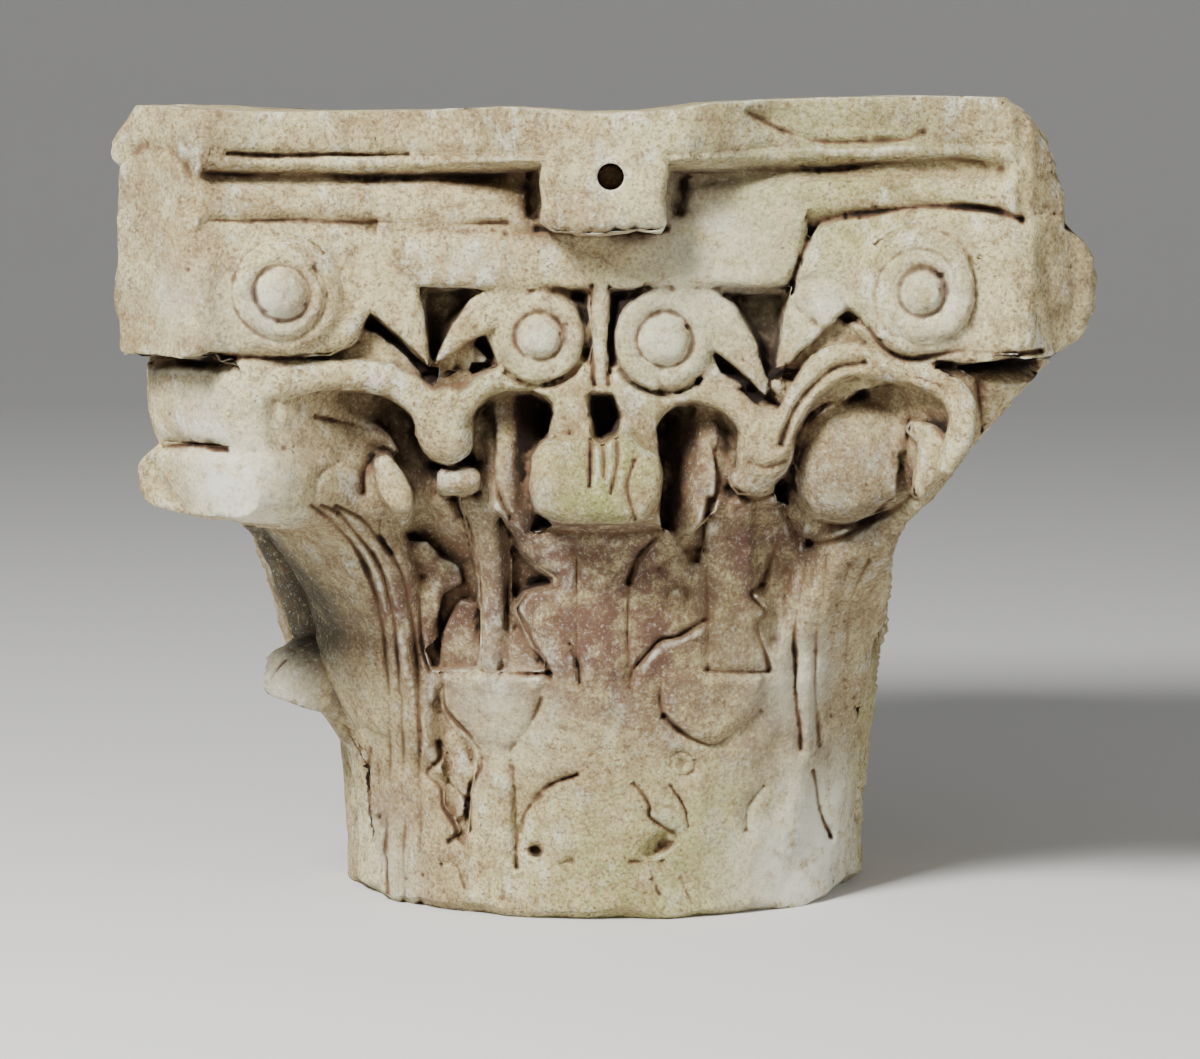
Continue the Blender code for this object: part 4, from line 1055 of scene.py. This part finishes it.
thin.ratio = min(1.0, MOST_FACES / (2 * len(capital.data.polygons)))
thin.vertex_group = "plain"
thin.vertex_group_factor = 3.0
thin.use_collapse_triangulate = True
capital.data = settled(capital)
capital.modifiers.clear()
capital.vertex_groups.clear()

stone = bmesh.new()
stone.from_mesh(capital.data)
geometry = stone.verts[:] + stone.edges[:] + stone.faces[:]
bmesh.ops.bisect_plane(stone, geom=geometry, plane_co=(0, 0, 0), plane_no=(0, 0, -1), clear_outer=True)
bmesh.ops.contextual_create(stone, geom=[edge for edge in stone.edges if edge.is_boundary])
bmesh.ops.triangulate(stone, faces=[face for face in stone.faces if len(face.verts) > 4])
stone.to_mesh(capital.data)
stone.free()
capital.data.shade_smooth()


def open_sky(sample, rays):
    """Share of rays from sampled places that leave the stone, near by and farther off."""
    tree = BVHTree.FromPolygons([tuple(spot) for spot in spots],
                                [tuple(face.vertices) for face in capital.data.polygons])
    rays = np.random.default_rng(4).normal(size=(rays, 3))
    rays = [Vector(ray / np.linalg.norm(ray)) for ray in rays]
    share = []
    for index in sample:
        up = Vector(facing[index])
        start = Vector(spots[index]) + up * 0.0008
        near = far = 0.0
        for ray in rays:
            hit = tree.ray_cast(start, (up * 1.02 + ray).normalized(), 0.10)[3]
            near += 1.0 if hit is None else min(hit / 0.02, 1.0)
            far += 1.0 if hit is None else min(hit / 0.10, 1.0) ** 2
        share.append((near / len(rays), far / len(rays)))
    return np.array(share)


spots, facing = placed()
SAMPLES = 45000
sample = np.random.default_rng(2).choice(len(spots), min(len(spots), SAMPLES), replace=False)
sky = open_sky(sample, 16)
near = KDTree(len(sample))
for n, index in enumerate(sample):
    near.insert(spots[index], n)
near.balance()
all_sky = np.empty((len(spots), 2))
for n, spot in enumerate(spots):
    found = near.find_n(spot, 3)
    weights = [1 / (item[2] + 0.0005) for item in found]
    all_sky[n] = sum(sky[item[1]] * weight for item, weight in zip(found, weights)) / sum(weights)
all_sky[np.hypot(*(spots[:, (0, 2)] - bore).T) + (spots[:, 1] > BORE_FRONT) < 0.009] = 0.80
# Occlusion, near by and farther off, kept to paint dark soil and painted shade into crevices and hollows.
keep("tight", 1 - all_sky[:, 0])
keep("hollow", 1 - all_sky[:, 1])


# The stains: each lies where damp, soil and hands have been, as soft patches on the stone in millimetres.
# The pale patches are partly rubbed spots and partly painted highlights and painted light.
def stain(places):
    """Sum of soft round patches. A patch is across, forward, up, radius in mm and strength."""
    total = np.zeros(len(spots))
    for across, forward, up, size, strength in places:
        far = np.linalg.norm(spots * 1000 - np.array((across, -forward, up)), axis=1)
        total += strength * np.exp(-((far / size) ** 2))
    return total


keep("plum", stain(((3, 264, 459, 9, 2.0), (-20, 205, 210, 110, 0.36), (110, 190, 230, 90, 0.35),
                    (-120, 170, 200, 70, 0.40), (-10, 205, 220, 45, 0.9), (10, 200, 170, 55, 0.5),
                    (40, 200, 130, 50, 0.3), (-110, 170, 190, 50, 0.6), (-150, 200, 300, 40, 0.5),
                    (140, 200, 300, 45, 0.55), (100, 190, 230, 40, 0.6), (120, 150, 110, 45, 0.5),
                    (-40, 210, 270, 40, 0.5), (55, 215, 285, 35, 0.5), (-140, 120, 60, 40, 0.5),
                    (-220, 0, 200, 90, 0.5), (200, 60, 200, 90, 0.4), (0, -200, 180, 110, 0.5),
                    (150, -200, 320, 60, 0.5))))
keep("grime", stain(((-180, 90, 200, 45, 1.8), (100, 262, 492, 38, 0.30), (185, 272, 488, 40, 0.35),
                     (-62, 262, 492, 28, 0.4), (-230, 280, 482, 30, 0.30), (-60, 200, 245, 40, 0.35),
                     (150, 215, 262, 40, 0.5), (-195, 90, 225, 50, 1.1), (-180, 120, 200, 40, 0.9),
                     (-235, 130, 240, 45, 0.8), (-290, 230, 380, 50, 0.35), (-270, 250, 450, 40, 0.3),
                     (-80, -220, 200, 80, 0.6), (240, -100, 260, 70, 0.6))))
keep("moss", stain(((-8, 262, 268, 30, 0.9), (20, 262, 300, 25, 0.5), (-60, 250, 330, 35, 0.35),
                    (120, 265, 445, 90, 0.45), (40, 250, 360, 40, 0.25), (20, 175, 30, 60, 0.45),
                    (80, 170, 60, 40, 0.35), (190, 60, 120, 60, 0.35), (70, 195, 190, 40, 0.3),
                    (-150, -210, 60, 90, 0.5), (60, -240, 430, 90, 0.4))))
# Pale patches: rubbed spots, painted highlights on the eyes of the volutes and helices, the corner rolls and
# the corner leaf tip, and painted light on the lower right.
keep("pale", stain(((-196, 275, 385, 16, 1.0), (-240, 270, 385, 18, 0.8), (-225, 270, 268, 34, 1.2),
                    (-205, 90, 125, 26, 0.8), (-78, 262, 415, 14, 0.7), (125, 265, 382, 16, 0.8),
                    (190, 275, 385, 22, 0.6), (36, 255, 360, 22, 0.5), (-40, 255, 360, 18, 0.5),
                    (260, 220, 395, 25, 0.5), (-70, 195, 130, 28, 0.4), (130, 110, 32, 50, 1.6),
                    (120, 160, 150, 30, 0.5), (-230, 250, 320, 30, 0.4), (-150, 110, 20, 30, 0.5),
                    (60, 255, 410, 50, 0.4))))

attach(capital, "root")
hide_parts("capital")

# The marble: cream and buff, with brown and plum stains in the lower middle, dark soil and painted shade in
# the hollows, creases and cut lines, a green bloom on the parts that stay damp, and paler rubbed spots and
# painted highlights on what stands out.
marble.use_nodes = True
nodes, links = marble.node_tree.nodes, marble.node_tree.links
shader = nodes["Principled BSDF"]
shader.inputs["Specular IOR Level"].default_value = 0.25
where = nodes.new("ShaderNodeTexCoord").outputs["Object"]


def fed(socket, value):
    """Links a socket, or sets it to a number or a colour."""
    if isinstance(value, (int, float)):
        socket.default_value = value
    elif isinstance(value, tuple):
        socket.default_value = (*value, 1.0)
    else:
        links.new(value, socket)


def maths(kind, a, b=0.0):
    """Result of one step of arithmetic, clamped to 0 and 1."""
    step = nodes.new("ShaderNodeMath")
    step.operation = kind
    step.use_clamp = True
    fed(step.inputs[0], a)
    fed(step.inputs[1], b)
    return step.outputs[0]


def between(value, low, high):
    """Value stretched so that low becomes 0 and high becomes 1."""
    step = nodes.new("ShaderNodeMapRange")
    step.interpolation_type = "SMOOTHSTEP"
    fed(step.inputs["Value"], value)
    step.inputs["From Min"].default_value = low
    step.inputs["From Max"].default_value = high
    return step.outputs[0]


def cloud(size, detail=6.0, rough=0.6, seed=0.0, squash=(1.0, 1.0, 1.0)):
    """Noise whose patches are about a size in metres."""
    place = nodes.new("ShaderNodeMapping")
    links.new(where, place.inputs["Vector"])
    place.inputs["Location"].default_value = (seed, seed * 0.7, seed * 1.3)
    place.inputs["Scale"].default_value = squash
    noise = nodes.new("ShaderNodeTexNoise")
    links.new(place.outputs[0], noise.inputs["Vector"])
    noise.inputs["Scale"].default_value = 1 / size
    noise.inputs["Detail"].default_value = detail
    noise.inputs["Roughness"].default_value = rough
    return noise.outputs[0]


def tinted(under, over, share):
    """One colour over another."""
    mix = nodes.new("ShaderNodeMix")
    mix.data_type = "RGBA"
    fed(mix.inputs[0], share)
    fed(mix.inputs[6], under)
    fed(mix.inputs[7], over)
    return mix.outputs[2]


def patchy(share, noise, low, high):
    """A share that is broken up by a noise."""
    return maths("MULTIPLY", share, between(noise, low, high))


def kept(name):
    """Value that was kept for each place."""
    column = nodes.new("ShaderNodeAttribute")
    column.attribute_name = name
    return column.outputs["Fac"]


CREAM = (0.82, 0.715, 0.385)
BUFF = (0.56, 0.43, 0.22)
PALE = (0.88, 0.875, 0.71)
BROWN = (0.185, 0.100, 0.050)
PLUM = (0.155, 0.080, 0.055)
GRIME = (0.075, 0.068, 0.045)
SOIL_AND_SHADE = (0.018, 0.009, 0.005)
MOSS = (0.36, 0.40, 0.12)
hollow, tight, crack, sunk, line = kept("hollow"), kept("tight"), kept("crack"), kept("sunk"), kept("line")
blotch = cloud(0.045, 8.0, 0.70)
mottle = cloud(0.010, 10.0, 0.80, 3.0)
streak = cloud(0.018, 8.0, 0.75, 6.0, (1.0, 1.0, 0.6))
fleck = cloud(0.0022, 6.0, 0.70, 21.0)
colour = tinted(CREAM, BUFF, between(blotch, 0.38, 0.62))
colour = tinted(colour, BROWN, maths("MULTIPLY", between(cloud(0.028, 9.0, 0.75, 31.0), 0.50, 0.72), 0.50))
colour = tinted(colour, BROWN, maths("MULTIPLY", between(mottle, 0.45, 0.66), 0.74))
colour = tinted(colour, PALE, maths("MULTIPLY", between(streak, 0.50, 0.66), between(sunk, 0.60, 0.40)))
damp = maths("ADD", kept("moss"), 0.07)
colour = tinted(colour, MOSS, patchy(damp, cloud(0.016, 9.0, 0.75, 7.0), 0.34, 0.56))
colour = tinted(colour, PLUM, patchy(kept("plum"), cloud(0.018, 10.0, 0.80, 11.0), 0.30, 0.58))
# Painted shade mixed with soil: brown where a place sees little open sky, broken up by noise.
hollow_soil_and_shade = patchy(between(hollow, 0.16, 0.52), cloud(0.018, 9.0, 0.80, 13.0), 0.22, 0.60)
colour = tinted(colour, BROWN, maths("MULTIPLY", hollow_soil_and_shade, 0.9))
colour = tinted(colour, GRIME, patchy(kept("grime"), cloud(0.016, 10.0, 0.80, 15.0), 0.22, 0.52))
colour = tinted(colour, BROWN, maths("MULTIPLY", between(fleck, 0.48, 0.66), 0.75))
specks = patchy(between(cloud(0.0040, 5.0, 0.70, 5.0), 0.57, 0.65), cloud(0.05, 5.0, 0.6, 9.0), 0.38, 0.60)
colour = tinted(colour, BROWN, maths("MULTIPLY", specks, 0.85))
colour = tinted(colour, PALE, maths("MULTIPLY", between(fleck, 0.46, 0.30), 0.45))
colour = tinted(colour, PALE, maths("MULTIPLY", between(crack, 0.42, 0.18), 0.70))
# Painted highlights and painted light from the pale patches, with rubbed spots.
colour = tinted(colour, PALE, patchy(kept("pale"), cloud(0.014, 9.0, 0.75, 17.0), 0.30, 0.54))
# Painted shade: brown in the creases that lie below the smoothed skin.
colour = tinted(colour, BROWN, maths("MULTIPLY", between(crack, 0.55, 0.72), 0.8))
# Painted shade in the chisel lines, with some dirt: brown, and near-black where they are cut deepest.
colour = tinted(colour, BROWN, patchy(between(line, 0.20, 0.62), cloud(0.02, 6.0, 0.7, 19.0), 0.22, 0.55))
colour = tinted(colour, SOIL_AND_SHADE, patchy(between(line, 0.42, 0.80), cloud(0.03, 6.0, 0.7, 23.0), 0.34, 0.62))
# Painted shade: near-black in the deepest creases.
colour = tinted(colour, SOIL_AND_SHADE, between(crack, 0.68, 0.92))
# Painted shade: near-black where the occlusion is strong, near by and farther off, mixed with soil.
colour = tinted(colour, SOIL_AND_SHADE, maths("MULTIPLY", between(tight, 0.30, 0.62), 0.93))
colour = tinted(colour, SOIL_AND_SHADE, maths("MULTIPLY", between(hollow, 0.46, 0.80), 0.92))
links.new(colour, shader.inputs["Base Color"])
rough = nodes.new("ShaderNodeMapRange")
links.new(cloud(0.01, 5.0, 0.6, 2.0), rough.inputs["Value"])
rough.inputs["To Min"].default_value = 0.62
rough.inputs["To Max"].default_value = 0.95
links.new(rough.outputs[0], shader.inputs["Roughness"])
bump = nodes.new("ShaderNodeBump")
bump.inputs["Strength"].default_value = 1.0
bump.inputs["Distance"].default_value = 0.0035
links.new(cloud(0.005, 12.0, 0.80, 1.0), bump.inputs["Height"])
links.new(bump.outputs[0], shader.inputs["Normal"])

# The floor and the light: a pale floor that rises gently far behind, a broad soft lamp from above the
# front left and a weak fill.
FLOOR_PROFILE = ((0.1, 0.0), (4.5, 0.0), (5.3, 0.05), (6.1, 0.21), (6.9, 0.50), (7.6, 0.92), (8.2, 1.50),
                 (8.6, 2.2), (8.8, 3.0), (8.8, 5.0))
ring_turns = np.linspace(0, 2 * math.pi, 96, endpoint=False)
rings = [[polar(turn, reach, level) for turn in ring_turns] for reach, level in FLOOR_PROFILE]
ground = ringed("floor", rings, bpy.context.scene.collection)
bare = bmesh.new()
bare.from_mesh(ground.data)
lid = [face for face in bare.faces if min(vert.co.z for vert in face.verts) > 4.9]
bmesh.ops.delete(bare, geom=lid, context="FACES")
bare.to_mesh(ground.data)
bare.free()
ground.data.shade_smooth()
pale = bpy.data.materials.new("pale floor")
pale.use_nodes = True
pale.node_tree.nodes["Principled BSDF"].inputs["Base Color"].default_value = (0.62, 0.61, 0.59, 1.0)
pale.node_tree.nodes["Principled BSDF"].inputs["Roughness"].default_value = 0.9
ground.data.materials.append(pale)
world = bpy.data.worlds.new("studio")
world.use_nodes = True
world.node_tree.nodes["Background"].inputs["Color"].default_value = (0.80, 0.82, 0.85, 1.0)
world.node_tree.nodes["Background"].inputs["Strength"].default_value = 0.32
bpy.context.scene.world = world


def soft_lamp(name, place, size, power, aim):
    """Square area lamp turned towards a point."""
    lamp = bpy.data.lights.new(name, "AREA")
    lamp.size = size
    lamp.energy = power
    holder = bpy.data.objects.new(name, lamp)
    holder.location = place
    holder.rotation_euler = (Vector(aim) - Vector(place)).to_track_quat("-Z", "Y").to_euler()
    bpy.context.scene.collection.objects.link(holder)


soft_lamp("key", (-1.3, -2.2, 2.3), 0.8, 262.0, (0, 0, 0.25))
soft_lamp("fill", (2.2, -1.8, 1.1), 1.6, 24.0, (0, 0, 0.25))

# The camera: level with the top of the capital, 2.7 m away, tilted down a little onto its middle.
camera = bpy.data.cameras.new("camera")
camera.sensor_width = 36.0
camera.lens = 126.5
viewer = bpy.data.objects.new("camera", camera)
viewer.location = (-0.00325, -EYE / 1000, HEIGHT)
viewer.rotation_euler = (math.radians(90 - 5.75), 0, 0)
bpy.context.scene.collection.objects.link(viewer)
bpy.context.scene.camera = viewer
